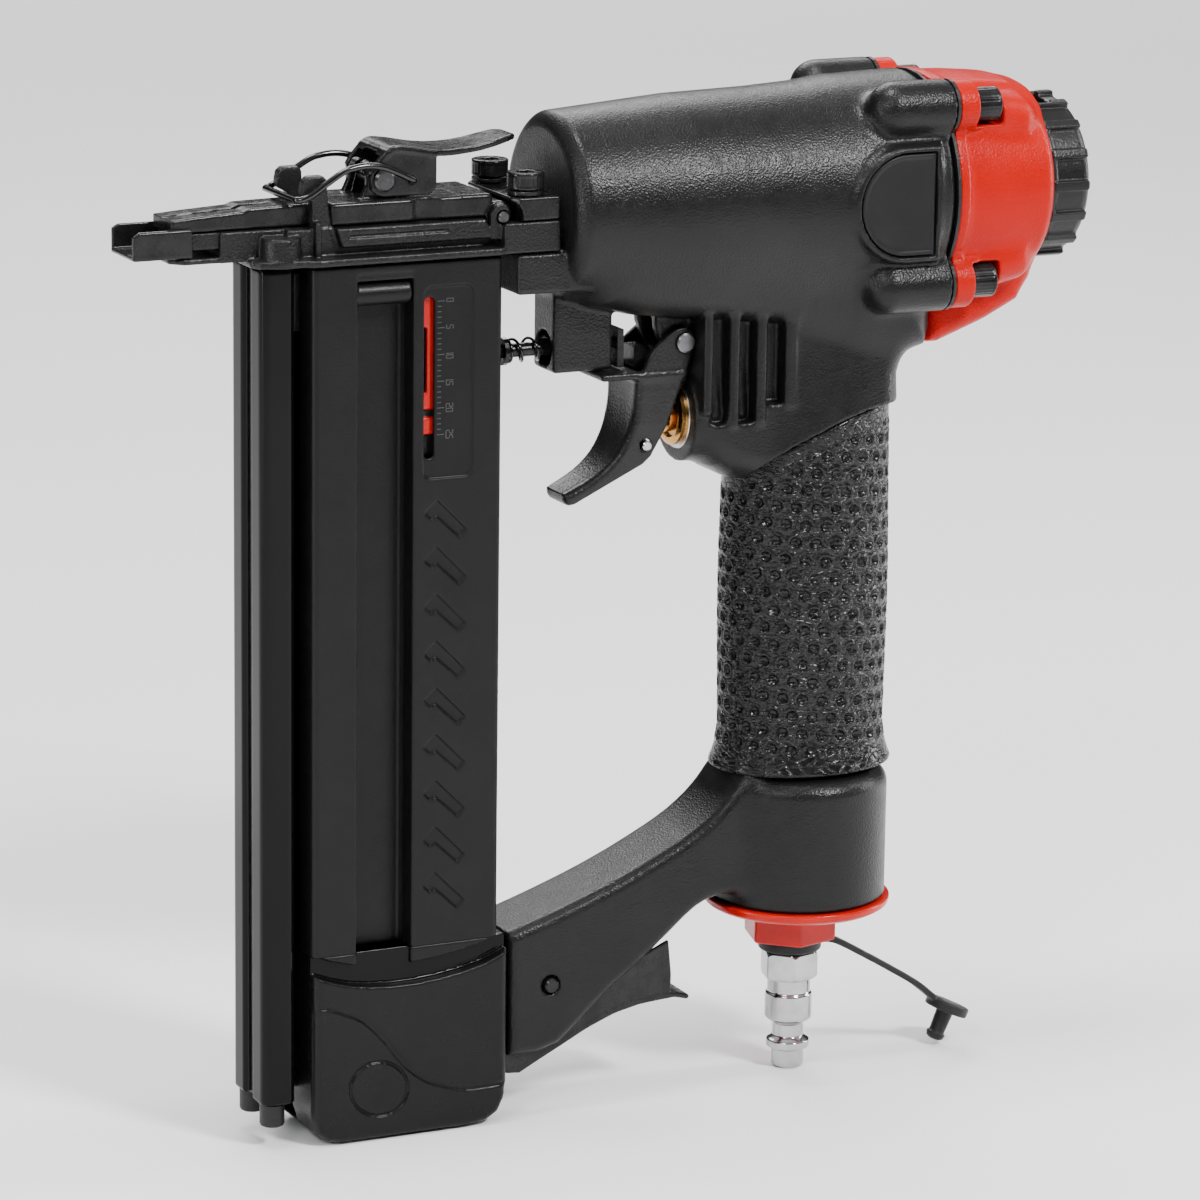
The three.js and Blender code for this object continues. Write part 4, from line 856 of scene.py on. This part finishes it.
def latch_lever():
    f = around("latch_lever", 0.24, 0.6)
    top_line = [tuple(p) for p in curve_points([(32.2, 227.2), (34, 228.1), (38, 227.7), (44, 226.6),
        (49, 226.3), (55, 226.7), (60, 227.6), (64, 228.5), (65.8, 228.6)], 40)]
    curl = [(32.2, 227.2), (30.9, 225.9), (29.3, 224.1), (28.6, 222.8)]
    top = meet(along_polyline(f.x, f.z, top_line, 0.72), np.abs(f.y) - np.interp(f.x,
        [27, 45, 48, 52, 60, 64, 66.6], [8, 8, 7.4, 6.6, 6.2, 5.4, 3.2]), 0.3)
    lip = meet(along_polyline(f.x, f.z, curl, 0.6), np.abs(f.y) - 8, 0.3)
    lip = np.maximum(lip, 3.6 - np.sqrt(f.y ** 2 + 0 * f.x))
    shape = union(top, np.maximum(lip, -box(f, (20, 40), (-6.6, 6.6), (210, 226.4))), k=0.4)
    outline = [(28.2, 218.6), (29.6, 217.3), (31.2, 216.95), (43, 217), (44.6, 218.5), (44.6, 226.6),
        (34, 228.3), (31.6, 227.2), (28.2, 223)]
    for side in (-1, 1):
        plate = prism(f, "y", outline, on(side, 6.8, 8), r=0.3, corner=0.5)
        shape = union(shape, plate, k=0.5)
    shape = cut(shape, rod(f, "y", LEVER_PIN, 2.1, (-10, 10)), rod(f, "y", (38.3, 220.6), 0.85,
        (-10, 10)))
    piece("lever_sheet", f, shape, "lever", "latch_lever", "gloss_black", oxide)


def bail():
    def side(s):
        return [(38.3, s * 6.4, 220.6), (38.3, s * 8.5, 220.6), (37.6, s * 9.6, 221.0),
            (33.5, s * 10, 223), (29.8, s * 10.2, 224.4), (26.2, s * 10.3, 224.9),
            (22.8, s * 10.35, 224.6), (20, s * 10.4, 223.8), (15.6, s * 10.5, 221.2),
            (12, s * 10.5, 218.9), (9.8, s * 10.2, 217.95), (8.7, s * 9.2, 217.8), (8.6, s * 7.6, 217.8)]
    line = curve_points(side(-1) + side(1)[::-1], 150)
    points, faces = sweep(line, 0.8, 12)
    dress(add_object("bail_wire", mesh_of("bail", points, faces, sharp=60), "bail", "latch_bail"), wire,
        slot="gloss_black")


def latch_spring():
    wound = coil((29.2, -4.2, 223.0), "y", 8.4, 1.45, 6.5, 0.42, dead=3.2)
    legs = [sweep(curve_points(line, 20), 0.42, 8) for line in ([(30.6, -4.2, 223.0), (29.6, -4.3, 221),
        (28.8, -4.3, 218), (28.4, -4.2, 216.6)], [(30.6, 4.2, 223.0), (29.6, 4.3, 221), (28.8, 4.3, 218),
        (28.4, 4.2, 216.6)])]
    points, faces = joined(wound, *legs)
    dress(add_object("latch_torsion_spring", mesh_of("latch_spring", points, faces, sharp=60), "door",
        "latch_spring"), wire, slot="gloss_black")


def contact_shoe():
    f = around("contact_shoe", 0.24, 0.5)
    outer = box(f, (-30.4, -15.8), (-7.4, 7.4), (205.5, 212.2), r=0.5)
    inner = box(f, (-34, -12), (-6.3, 6.3), (206.6, 216), r=0.3)
    shape = cut(outer, inner)
    shape = np.maximum(shape, (f.z - 211.2) * 0.8 - (f.x + 30.4) * 0.5)
    piece("shoe", f, shape, "contact", "contact_shoe", "steel_black", oxide)


def contact_link():
    f = around("contact_link", 0.3, 0.5)
    strap = prism(f, "z", [(-27, 7.7), (-6, 7.7), (-1, 15.2), (62.4, 15.2), (62.4, 16.6), (-1.8, 16.6),
        (-6.8, 9.1), (-27, 9.1)], (206.2, 210.6), r=0.3)
    leg = prism(f, "x", [(15, 208), (15, 190.5), (3.5, 181), (-4, 181), (-4, 172.6), (4, 172.6),
        (16.6, 186), (16.6, 208)], (61, 62.4), r=0.3)
    piece("link_strap", f, union(strap, leg, k=0.4), "contact", "contact_link", "steel_black", oxide)


def nose_small_parts():
    for side, name in ((-1, "left"), (1, "right")):
        place = (NOSE_SCREW[0], side * NOSE_SCREW[1])
        socket_screw("clamp_screw_" + name, "nose_screw_" + name, "z", 217.4, place, 4.4, 4.0, 2.3, 22,
            2.2)
        points, faces = lathe("z", place, [(216.1, 2.6), (216.1, 4.2), (216.3, 4.4), (216.9, 4.4),
            (217.1, 4.2), (217.1, 2.6)], 40)
        washer = add_object("clamp_washer_" + name, mesh_of("washer", points, faces, sharp=35), "frame",
            "nose_washer_" + name)
        dress(washer, oxide, slot="steel_black")
    head = [(-9.1, 0.01), (-9.1, 2.1), (-8.7, 2.6), (-8.3, 2.6), (-8.3, 1.8), (8.3, 1.8), (8.3, 2.6),
        (8.7, 2.6), (9.1, 2.1), (9.1, 0.01)]
    points, faces = lathe("y", (LEVER_PIN[0], LEVER_PIN[1]), head, 40)
    dress(add_object("lever_rivet", mesh_of("rivet", points, faces, sharp=35), "door",
        "latch_lever_pin"), dark_steel, slot="steel")
    points, faces = lathe("y", HINGE, [(-12.9, 0.01), (-12.9, 1.1), (-12.6, 1.4), (12.6, 1.4),
        (12.9, 1.1), (12.9, 0.01)], 32)
    dress(add_object("hinge_rod", mesh_of("hinge", points, faces, sharp=35), "frame", "door_hinge_pin"),
        dark_steel, slot="steel")
    points, faces = lathe("x", (0, ROD_Z), [(62.7, 0.01), (62.7, 1.3), (63.1, 1.7), (92.7, 1.7),
        (93.1, 1.4), (93.1, 0.01)], 36)
    dress(add_object("push_rod", mesh_of("rod", points, faces, sharp=35), "contact", "contact_rod"),
        oxide, slot="steel_black")
    spring("rod_spring", "contact_spring", "frame", (66.2, 0, ROD_Z), "x", 18.6, (2.7, 6.0, 0.36), wire,
        "steel_black")


nose_body()
clamp_plate()
nose_door()
latch_lever()
bail()
latch_spring()
contact_shoe()
contact_link()
nose_small_parts()

# ------------------------------------------------------------------ trigger and valve


def trigger():
    f = around("trigger", 0.27, 0.5)
    face = [tuple(q) for q in curve_points([(96.6, 174), (96.7, 169.6), (96.4, 162), (95, 156),
        (92.4, 151), (89.4, 147.7), (85.6, 145), (81.4, 142.9), (79.2, 141.8)], 40)]
    back = [(79.4, 139.6), (80.6, 138.95), (82.2, 139.2), (99.4, 147.9), (101.4, 149.8), (104.8, 156.6),
        (109.6, 169.6), (110, 174)]
    half = np.interp(f.z, [138.9, 144, 150, 158, 166, 171], [5.8, 6.6, 7.6, 8.6, 9, 9])
    rail = 0.55 * np.clip(np.abs(f.y) / half, 0, 1) ** 3 - 0.55
    front = polygon(f.x, f.z, face + [(79.2, 120), (140, 120), (140, 174)]) - rail - 0.3
    body = meet(front, np.abs(f.y) - half, 2.4)
    rear = polygon(f.x, f.z, [(60, 174), (60, 139.6)] + back)
    body = meet(meet(body, rear, 1.0), f.z - 169.8, 0.3)
    ledge = box(f, (87.4, 109.6), (-9, 9), (169.2, 170.9), r=0.7)
    shape = union(body, ledge, k=1.8)
    for s in (-1, 1):
        ear = prism(f, "y", [(97.8, 169.6), (98.8, 171.8), (99.9, 174.8), (101.8, 177), (104.6, 179.2),
            (107, 180.8), (109.2, 181.2), (111.2, 179.9), (112, 177.6), (109.6, 169.6)], on(s, 7.2,
            9), r=0.5)
        shape = union(shape, ear, k=0.4)
    hollow = np.minimum(meet(polygon(f.x, f.z, [(97.8, 169.2), (97.6, 160), (96.6, 154), (95.6, 150.8),
        (120, 150.8), (120, 169.2)]), np.abs(f.y) - 7.2), box(f, (97.4, 120), (-7.2, 7.2), (168, 190)))
    pins = [rod(f, "y", TRIGGER_PIVOT, 2.1, (-12, 12)), rod(f, "y", (99.5, 152.9), 1.5, (-12, 12))]
    shape = cut(shape, hollow, *pins, k=0.2)
    piece("trigger_blade", f, shape, "trigger", "trigger", "cast_black", trigger_paint)


def turned_piece(name, node, body, axis, centre, profile, shader, slot, sides=48):
    points, faces = lathe(axis, centre, profile, sides)
    dress(add_object(name, mesh_of(name, points, faces, sharp=33), body, node), shader, slot=slot)


trigger()
turned_piece("trigger_rivet", "trigger_pin", "frame", "y", TRIGGER_PIVOT,
    [(-10.1, 0.01), (-10.1, 2.0), (-9.8, 2.4), (-9.3, 2.4), (-9.3, 1.8), (9.3, 1.8), (9.3, 2.4),
    (9.8, 2.4), (10.1, 2.0), (10.1, 0.01)], dull_steel, "steel")
turned_piece("idler_rivet", "idler_pin", "trigger", "y", (99.5, 152.9), [(-9.3, 0.01), (-9.3, 0.9),
    (-9.0, 1.2), (9.0, 1.2), (9.3, 0.9), (9.3, 0.01)], pin_steel, "steel")
turned_piece("valve_sleeve", "valve_bushing", "frame", "x", (0, VALVE_Z),
    [(107.4, 2.35), (107.4, 3.9), (107.8, 4.4), (109.9, 4.4), (109.9, 5.5), (109.0, 5.9), (109.0, 7.0),
    (109.4, 7.7), (110.7, 7.7), (110.7, 6.8), (127, 6.8), (127, 5.4), (118, 5.4), (118, 2.35),
    (107.4, 2.35)], brass, "brass", 64)
ring_points, ring_faces = lathe("x", (0, VALVE_Z), [(110.75, 7.7), (110.75, 8.5), (111.2, 8.9),
    (111.6, 8.9), (111.6, 7.7)], 64)
dress(add_object("valve_seat_ring", mesh_of("ring", ring_points, ring_faces, sharp=33), "frame"),
    pin_steel, slot="steel")
turned_piece("valve_pin", "valve_stem", "stem", "x", (0, VALVE_Z), [(103.4, 0.01), (103.4, 1.3),
    (104.1, 2), (119.5, 2), (119.5, 4.6), (121.5, 4.6), (121.5, 0.01)], brass, "brass")

# ------------------------------------------------------------------ magazine


def rail():
    f = around("magazine_rail", 0.5, 0.6)
    outline = meet(slab(f.x, 0, 8.6), slab(f.y, -10, 10), 2.2)
    bar = meet(outline, slab(f.z, 0, 202), 0.4)
    core = box(f, (7, 56), (1.5, 9), (0, 202), r=0.5)
    shape = cut(union(bar, core), box(f, (-3, 1.2), (-2.5, 2.5), (-3, 206), r=0.3), k=0.4)
    piece("rail_bar", f, shape, "frame", "magazine_rail", "gloss_black", gloss)


ARROW = [(0, 0), (3.1, 2.8), (10.7, -4.9), (9.0, -6.9), (3.1, -1.4), (1.9, -2.2), (0.1, -0.6)]
TICK = 6.35 / 5


def cover():
    f = around("magazine_cover", 0.3, 0.5)
    outline = meet(slab(f.x, 11.7, 59.8), slab(f.y, -12.5, 12.5), 1.6)
    shape = meet(outline, slab(f.z, 36.3, 201.8), 0.15)
    flat = f.y + 12.5
    channel = meet(polygon(f.x, f.y, [(22.9, -15), (22.9, -7.4), (24, -6.2), (36, -6.2), (37, -7.4),
        (37, -15)]), slab(f.z, 30, 200), 0.6)
    shape = cut(shape, channel, k=0.5)
    panel = meet(meet(slab(f.x, 39.6, 52.2), slab(f.z, 150.2, 196), 2.0), flat - 0.55, 0.05)
    shape = cut(shape, panel, k=0.1)
    window = meet(meet(slab(f.x, 39.9, 42.5), slab(f.z, 155, 193.6), 1.3), slab(f.y, -15, -10))
    shape = cut(shape, window, k=0.1)
    for i in range(9):
        z0 = 142.4 - 11.375 * i
        arrow = polygon(f.x, f.z, [(40 + u, z0 + v) for u, v in ARROW])
        near = (np.abs(f.z - z0 + 2) < 8)
        shape = np.where(near, cut(shape, meet(arrow, flat - 0.62, 0.05), k=0.1), shape)
    floor = (30, 206)
    inside = [box(f, (8, 57.4), (-4, 10), floor), box(f, (38.8, 45.6), (-10.8, -3.9), (40, 198.6)),
        box(f, (47.2, 56.8), (-10.8, -3.9), (30, 198.6)), box(f, (57, 64), (-5.4, 5.4), (30, 150))]
    shape = cut(shape, *inside)
    roll = rod(f, "x", (-9.5, 195.0), 2.9, (22.7, 36.6), r=0.3)
    lip = box(f, (22.7, 37.2), (-12.3, -8), (198.2, 200.6), r=0.5)
    shape = union(shape, roll, lip, k=0.3)
    piece("cover_shell", f, shape, "magazine", "magazine_cover", "cover_black", cover_paint)


DIGITS = {"0": "abcdef", "1": "bc", "2": "abged", "5": "afgcd"}
SEGMENTS = {"a": ((0, 2), (1, 2)), "b": ((1, 2), (1, 1)), "c": ((1, 1), (1, 0)), "d": ((0, 0), (1, 0)),
    "e": ((0, 1), (0, 0)), "f": ((0, 2), (0, 1)), "g": ((0, 1), (1, 1))}


def scale_marks():
    """The nail-length scale: ticks and plain numbers, turned to read along the magazine."""
    vertices, quads = [], []

    def bar(x0, z0, x1, z1, half):
        d = np.array([x1 - x0, z1 - z0])
        d = d / np.linalg.norm(d) * half
        n = np.array([-d[1], d[0]])
        base = len(vertices)
        for u, v in ((x0 - d[0] + n[0], z0 - d[1] + n[1]), (x0 - d[0] - n[0], z0 - d[1] - n[1]),
                (x1 + d[0] - n[0], z1 + d[1] - n[1]), (x1 + d[0] + n[0], z1 + d[1] + n[1])):
            vertices.append((u, -11.9, v))
        for u, _, v in list(vertices[base:]):
            vertices.append((u, -12.02, v))
        quads.extend([(base + 4, base + 5, base + 6, base + 7)])
        quads.extend([(base + i, base + (i + 1) % 4, base + 4 + (i + 1) % 4, base + 4 + i)
            for i in range(4)])

    for i in range(26):
        z = 192.4 - TICK * i
        bar(43.3, z, 44.9 if i % 5 == 0 else 44.1, z, 0.09)
    for i, text in enumerate(("0", "5", "10", "15", "20", "25")):
        z = 193.3 - 6.35 * i if len(text) > 1 else 192.9 - 6.35 * i
        for place, digit in enumerate(text):
            for name in DIGITS[digit]:
                (u0, v0), (u1, v1) = SEGMENTS[name]
                top = z - 1.15 * place
                bar(45.5 + 0.85 * v0, top - 0.75 * u0, 45.5 + 0.85 * v1, top - 0.75 * u1, 0.11)
    obj = add_object("scale_marks", mesh_of("marks", vertices, [np.array(quads)], smooth=False),
        "magazine")
    dress(obj, ink, slot="cover_black")


STEP_LINE = [(5, 32.1), (11.7, 32.1), (16.5, 30.2), (21.4, 28.8), (26.6, 28), (32.1, 27.6), (38, 27.6),
    (44, 28.1), (50, 29), (56.1, 30.4), (60, 32), (66, 35)]


RECESS = 3.0
BAND = 4.9


def foot_cap():
    f = around("magazine_foot_cap", 0.4, 0.5)
    outline = meet(slab(f.x, 11.7, 62.2), slab(f.y, -13.8, 13.8), 2.2)
    toe = polygon(f.x, f.z, [(8, 40), (8, GROUND + 6), (11.7, GROUND + 5.4), (12.9, GROUND + 2.9),
        (15.4, GROUND + 1), (19, GROUND), (52, GROUND), (57, GROUND + 0.8), (60, GROUND + 2.6),
        (61.6, GROUND + 5), (66, GROUND + 9), (66, 40)])
    shape = meet(meet(outline, slab(f.z, GROUND, 36.35), 0.1), toe, 2.2)
    face = f.y + 13.8
    step = polygon(f.x, f.z, STEP_LINE + [(66, 42), (5, 42)])
    ledge = polygon(f.x, f.z, [(x, z + BAND) for x, z in STEP_LINE] + [(66, 46), (5, 46)])
    scoop = cut(step, cut(ledge, slab(f.x, 22.9, 37)))
    shape = cut(shape, meet(step, face - 1.3, 0.2), meet(scoop, face - RECESS, 0.2), k=0.25)
    line = [tuple(p) for p in curve_points([(10, 24.6), (15.5, 23.8), (19.4, 22.3), (23, 20.6),
        (26.1, 18.2), (30.5, 13.4), (33.4, 9.6), (36.1, 6.4), (40, 3.3), (44.2, 1.3), (52.3, -0.8),
        (64, -0.4)], 40)]
    groove = along_polyline(f.x, f.z, line, 0.45)
    below = np.interp(f.x, [p[0] for p in line], [p[1] for p in line]) - f.z
    shape = cut(shape, meet(groove, face - 0.55, 0.1), k=0.2)
    shape = shape + 0.28 * np.clip(below / 1.5, 0, 1) * (face < 2)
    tilt = math.radians(-24)
    u = (f.x - 28.4) * math.cos(tilt) + (f.z - 2.2) * math.sin(tilt)
    v = -(f.x - 28.4) * math.sin(tilt) + (f.z - 2.2) * math.cos(tilt)
    oval = (np.sqrt((u / 7.6) ** 2 + (v / 6.6) ** 2) - 1) * 7
    ring = np.abs(oval) - 0.3
    shape = cut(shape, meet(ring, face - 0.75, 0.1), k=0.15)
    dish = np.sqrt(np.maximum(u ** 2 / 49 + v ** 2 / 36, 1e-6))
    shape = shape + 0.5 * np.clip(1 - dish, 0, 1) * (face < 2)
    shape = cut(shape, box(f, (13.6, 59.7), (-10.3, 10.3), (GROUND + 3, 40)),
        box(f, (8, 15), (0.6, 10.3), (GROUND + 3, 40)), box(f, (56, 66), (-5.4, 5.4), (15, 40), r=0.4),
        box(f, (56, 66), (-6, 6), (4, 13), r=0.4))
    obj = add_object("foot_shell", surface("foot_cap", f, shape), "magazine", "magazine_foot_cap")
    dress(obj, foot_plastic, gloss, cover_paint, slot="plastic_black")
    centres = face_centres(obj.data)
    rim = np.interp(centres[:, 0], *zip(*STEP_LINE))
    above = centres[:, 2] > rim + 0.2
    # The faces of the recess band above the rim take the near-black gloss as painted shade; the ledge
    # faces take the cover's paint.
    painted_shade = above & (centres[:, 1] > -11.7) & (centres[:, 1] < -10)
    ledge_face = above & (np.abs(centres[:, 1] + 12.5) < 0.6)
    paint(obj, (painted_shade + 2 * ledge_face))


def pusher():
    f = around("pusher", 0.35, 0.4)
    shape = union(box(f, (10.2, 55.8), (-3.7, 1.1), (186, 200), r=0.3), box(f, (30, 55.8), (-3.7, 1.1),
        (158, 187), r=0.3), box(f, (39.1, 45.3), (-10.4, -3), (155, 197), r=0.4), box(f, (47.6, 55.8),
        (-10.4, -3), (189, 197), r=0.4))
    notches = [box(f, (38, 41.2), (-12, -9.2), (170.5, 186), r=0.2), box(f, (38, 46), (-12, -9.6),
        (164.6, 166.4), r=0.2), box(f, (38, 46), (-12, -9.2), (150, 160.5), r=0.2)]
    shape = cut(shape, rod(f, "z", (51.5, -7.2), 1.7, (180, 198)), *notches)
    obj = add_object("pusher_block", surface("pusher", f, shape), "pusher", "pusher")
    dress(obj, red_gloss, plastic, slot="red_plastic")
    centres = face_centres(obj.data)
    # Only the flag's near side stays red; the rest of the pusher is painted black plastic, as painted
    # shade in the dark gap between rail and cover.
    gap_shade = (centres[:, 1] > -9.7) | (centres[:, 0] > 46.5)
    paint(obj, gap_shade)


rail()
cover()
scale_marks()
foot_cap()
pusher()
for side, name in ((-1, "left"), (1, "right")):
    turned_piece("foot_pad_" + name, "rail_foot_" + name, "frame", "z", (3.6, side * 6.4),
        [(-5.8, 0.01), (-5.8, 2.3), (-5.5, 2.8), (-5.0, 3.0), (-0.3, 3.0), (-0.3, 0.01)], soft_rubber,
        "rubber_black")

# ------------------------------------------------------------------ magazine release


def release():
    f = around("release_latch", 0.28, 0.5)
    side = [(63, 17), (63, 2), (64.2, -0.3), (67.8, -0.6), (72, 1.6), (78.8, 4.9), (86, 8.5),
        (93.2, 11.3), (100, 12.8), (108.4, 13.4), (108.6, 19.7), (107.7, 28.2), (99, 24.4), (90, 24),
        (80, 26.4), (71, 26.4), (67, 24)]
    web = [(67.6, 0.2), (71.6, 2.2), (78.4, 5.6), (85.6, 9.2), (92.9, 12.0), (99.8, 13.5), (108.4, 14.1),
        (112.9, 13.2)]
    lower = [tuple(p) for p in curve_points(web, 30)]
    shape = meet(along_polyline(f.x, f.z, lower, 0.65), slab(f.y, -8.2, 8.2), 0.3)
    nose = meet(along_polyline(f.x, f.z, [(63.7, 12), (63.7, 2.2), (64.9, 0.5), (67.6, 0.2)], 0.7),
        slab(f.y, -8.2, 8.2), 0.3)
    shape = union(shape, nose)
    for s in (-1, 1):
        shape = union(shape, prism(f, "y", side, on(s, 6.9, 8.2), r=0.3), k=0.4)
    shape = cut(shape, rod(f, "y", LATCH_PIN, 2.1, (-12, 12)))
    piece("release_lever", f, shape, "release", "release_latch", "steel_black", oxide)


release()
turned_piece("release_rivet", "release_latch_pin", "frame", "y", LATCH_PIN,
    [(-12, 0.01), (-12, 1.4), (-11.6, 1.8), (11.6, 1.8), (12, 1.4), (12, 0.01)], oxide, "steel_black")

# ------------------------------------------------------------------ air inlet

PLUG_X = 145.3


def inlet_cap():
    f = around("inlet_cap", 0.35, 0.5)
    ring = turned(f, "z", (HANDLE_X, 0), [(31.6, 21.6), (32.6, 23.0), (34.3, 23.3)], r=0.4)
    neck_part = rod(f, "z", (HANDLE_X, 0), 13.6, (33, 46))
    hexagon = [(PLUG_X + 11.9 * math.cos(t), 11.9 * math.sin(t)) for t in np.arange(6) * math.pi / 3
        + 0.28]
    nut = prism(f, "z", hexagon, (22.8, 32.4), r=0.7, corner=0.8)
    shape = union(ring, nut, k=0.8)
    shape = cut(union(shape, neck_part), rod(f, "z", (PLUG_X, 0), 6.3, (18, 36)),
        rod(f, "z", (HANDLE_X, 0), 10, (35, 50)))
    piece("inlet_nut", f, shape, "frame", "inlet_cap", "red_plastic", red_gloss)


def air_plug():
    f = around("air_plug", 0.24, 0.4)
    hexagon = [(PLUG_X + 7.4 * math.cos(t), 7.4 * math.sin(t)) for t in np.arange(6) * math.pi / 3 + 0.28]
    nut = meet(prism(f, "z", hexagon, (12.5, 19.4), r=0.3), turned(f, "z", (PLUG_X, 0),
        [(12.5, 6.7), (13.4, 7.5), (18.5, 7.5), (19.4, 6.7)]))
    body = turned(f, "z", (PLUG_X, 0), [(GROUND, 3.5), (GROUND + 0.8, 4), (-6.2, 4), (-6.0, 5.0),
        (-5.6, 5.4), (-3.9, 5.4), (-3.4, 4.6), (-2.8, 3.9), (0.3, 3.9), (1.7, 5.6), (2.1, 5.9),
        (8.2, 5.9), (8.7, 5.4), (12.2, 5.4), (12.6, 5.9)])
    thread = rod(f, "z", (PLUG_X, 0), 6, (19, 34))
    shape = cut(union(nut, body, thread), rod(f, "z", (PLUG_X, 0), 1.8, (GROUND - 3, 36)))
    piece("plug", f, shape, "frame", "air_plug", "chrome", chrome)


def dust_cap():
    f = around("dust_cap", 0.26, 0.6)
    collar = rod(f, "z", (PLUG_X, 0), 7.9, (19.8, 22.5), r=0.6)
    strap_line = [tuple(p) for p in curve_points([(152, 21.1), (157, 20.6), (165, 16.2), (174.5, 10.4),
        (181, 6.2), (186, 2), (190, -1.4)], 24)]
    strap = meet(along_polyline(f.x, f.z, strap_line, 0.8), np.abs(f.y) - 2.0, 0.5)
    tilt = 0.42
    u = (f.x - 190.7) * math.cos(tilt) - (f.z + 1.4) * math.sin(tilt)
    w = (f.x - 190.7) * math.sin(tilt) + (f.z + 1.4) * math.cos(tilt)
    across = np.sqrt(u ** 2 + f.y ** 2)
    disc = meet(across - 5.6, slab(w, -1.2, 1.3), 0.5)
    stem = meet(across - np.interp(w, [-9, -8.4, -7.2, -6.9, -1.2], [1.4, 2.2, 2.5, 2.0, 2.2]),
        slab(w, -9, 0), 0.3)
    rim = np.abs(across - 4.6) - 0.35
    shape = union(union(collar, strap, k=0.8), disc, stem, k=0.5)
    shape = cut(shape, meet(rim, 0.9 - w), rod(f, "z", (PLUG_X, 0), 6.3, (15, 26)), k=0.1)
    piece("dust_cap_rubber", f, shape, "dust_cap", "dust_cap", "rubber_black", soft_rubber)


inlet_cap()
air_plug()
dust_cap()
spring("pusher_coil", "pusher_spring", "magazine", (51.5, -7.2, -6.7), "z", 193.9, (2.3, 18, 0.4), steel,
    "steel")
spring("valve_coil", "head_valve_spring", "frame", (185.7, 0, AXIS_Z), "x", 9.4, (17.5, 2.5, 0.45),
    steel, "steel")

# ------------------------------------------------------------------ CAD nodes that stay

KEPT = {"cap_gasket": soft_rubber, "piston_ring": soft_rubber, "bumper": soft_rubber,
    "head_valve": plastic, "cylinder_sleeve": steel, "piston": steel, "driver_blade": steel,
    "valve_spring": steel, "valve_retainer": steel, "pusher_guide_rod": steel,
    "release_latch_spring": steel, "trigger_idler": oxide, "contact_clip": oxide, "contact_plate": oxide}
for node, shader in KEPT.items():
    dress(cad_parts[node], shader)

# ------------------------------------------------------------------ studio


def stage():
    side = 9.0
    mesh = bpy.data.meshes.new("floor")
    mesh.from_pydata([(-side, -side, 0), (side, -side, 0), (side, side, 0), (-side, side, 0)], [],
        [(0, 1, 2, 3)])
    floor = bpy.data.objects.new("floor", mesh)
    bpy.context.scene.collection.objects.link(floor)
    floor_paint = Shader("floor_paper", (0.82, 0.82, 0.82), 0.75, specular=0.1)
    floor_paint.vary_color(floor_paint.noise(400, 2), (0.84, 0.84, 0.84))
    mesh.materials.append(floor_paint.material)
    world = bpy.data.worlds.new("world")
    world.use_nodes = True
    tree = world.node_tree
    background = tree.nodes["Background"]
    background.inputs["Color"].default_value = (1, 1, 1, 1)
    place = tree.nodes.new("ShaderNodeTexCoord")
    parts = tree.nodes.new("ShaderNodeSeparateXYZ")
    glow = tree.nodes.new("ShaderNodeMapRange")
    for key, number in (("From Min", 0.25), ("From Max", 0.85), ("To Min", 0.04), ("To Max", 0.75)):
        glow.inputs[key].default_value = number
    glow.interpolation_type = "SMOOTHSTEP"
    tree.links.new(place.outputs["Generated"], parts.inputs["Vector"])
    tree.links.new(parts.outputs["Z"], glow.inputs["Value"])
    tree.links.new(glow.outputs["Result"], background.inputs["Strength"])
    bpy.context.scene.world = world


def softbox(name, place, target, size, power):
    data = bpy.data.lights.new(name, "AREA")
    data.shape = "RECTANGLE"
    data.size, data.size_y = size
    data.energy = power
    light = bpy.data.objects.new(name, data)
    place, target = Vector(place), Vector(target)
    light.location = place
    light.rotation_euler = (target - place).to_track_quat("-Z", "Y").to_euler()
    bpy.context.scene.collection.objects.link(light)


stage()
CENTRE = (0, 0, 0.13)
softbox("top", (-0.15, 0.0, 1.4), CENTRE, (0.35, 0.35), 13)
softbox("front", (0.45, -1.05, 1.15), CENTRE, (0.28, 0.28), 30)
softbox("key", (-0.95, -0.85, 1.0), CENTRE, (0.4, 0.4), 9)
softbox("left", (-1.25, -0.1, 0.35), CENTRE, (0.08, 1.2), 9)
softbox("right", (1.2, -0.05, 0.45), CENTRE, (0.12, 1.0), 10)
softbox("back", (0.3, 1.2, 1.0), CENTRE, (0.8, 0.3), 5)
softbox("backdrop", (1.0, 3.0, 2.4), (1.0, 3.2, 0), (3.5, 2.0), 110)
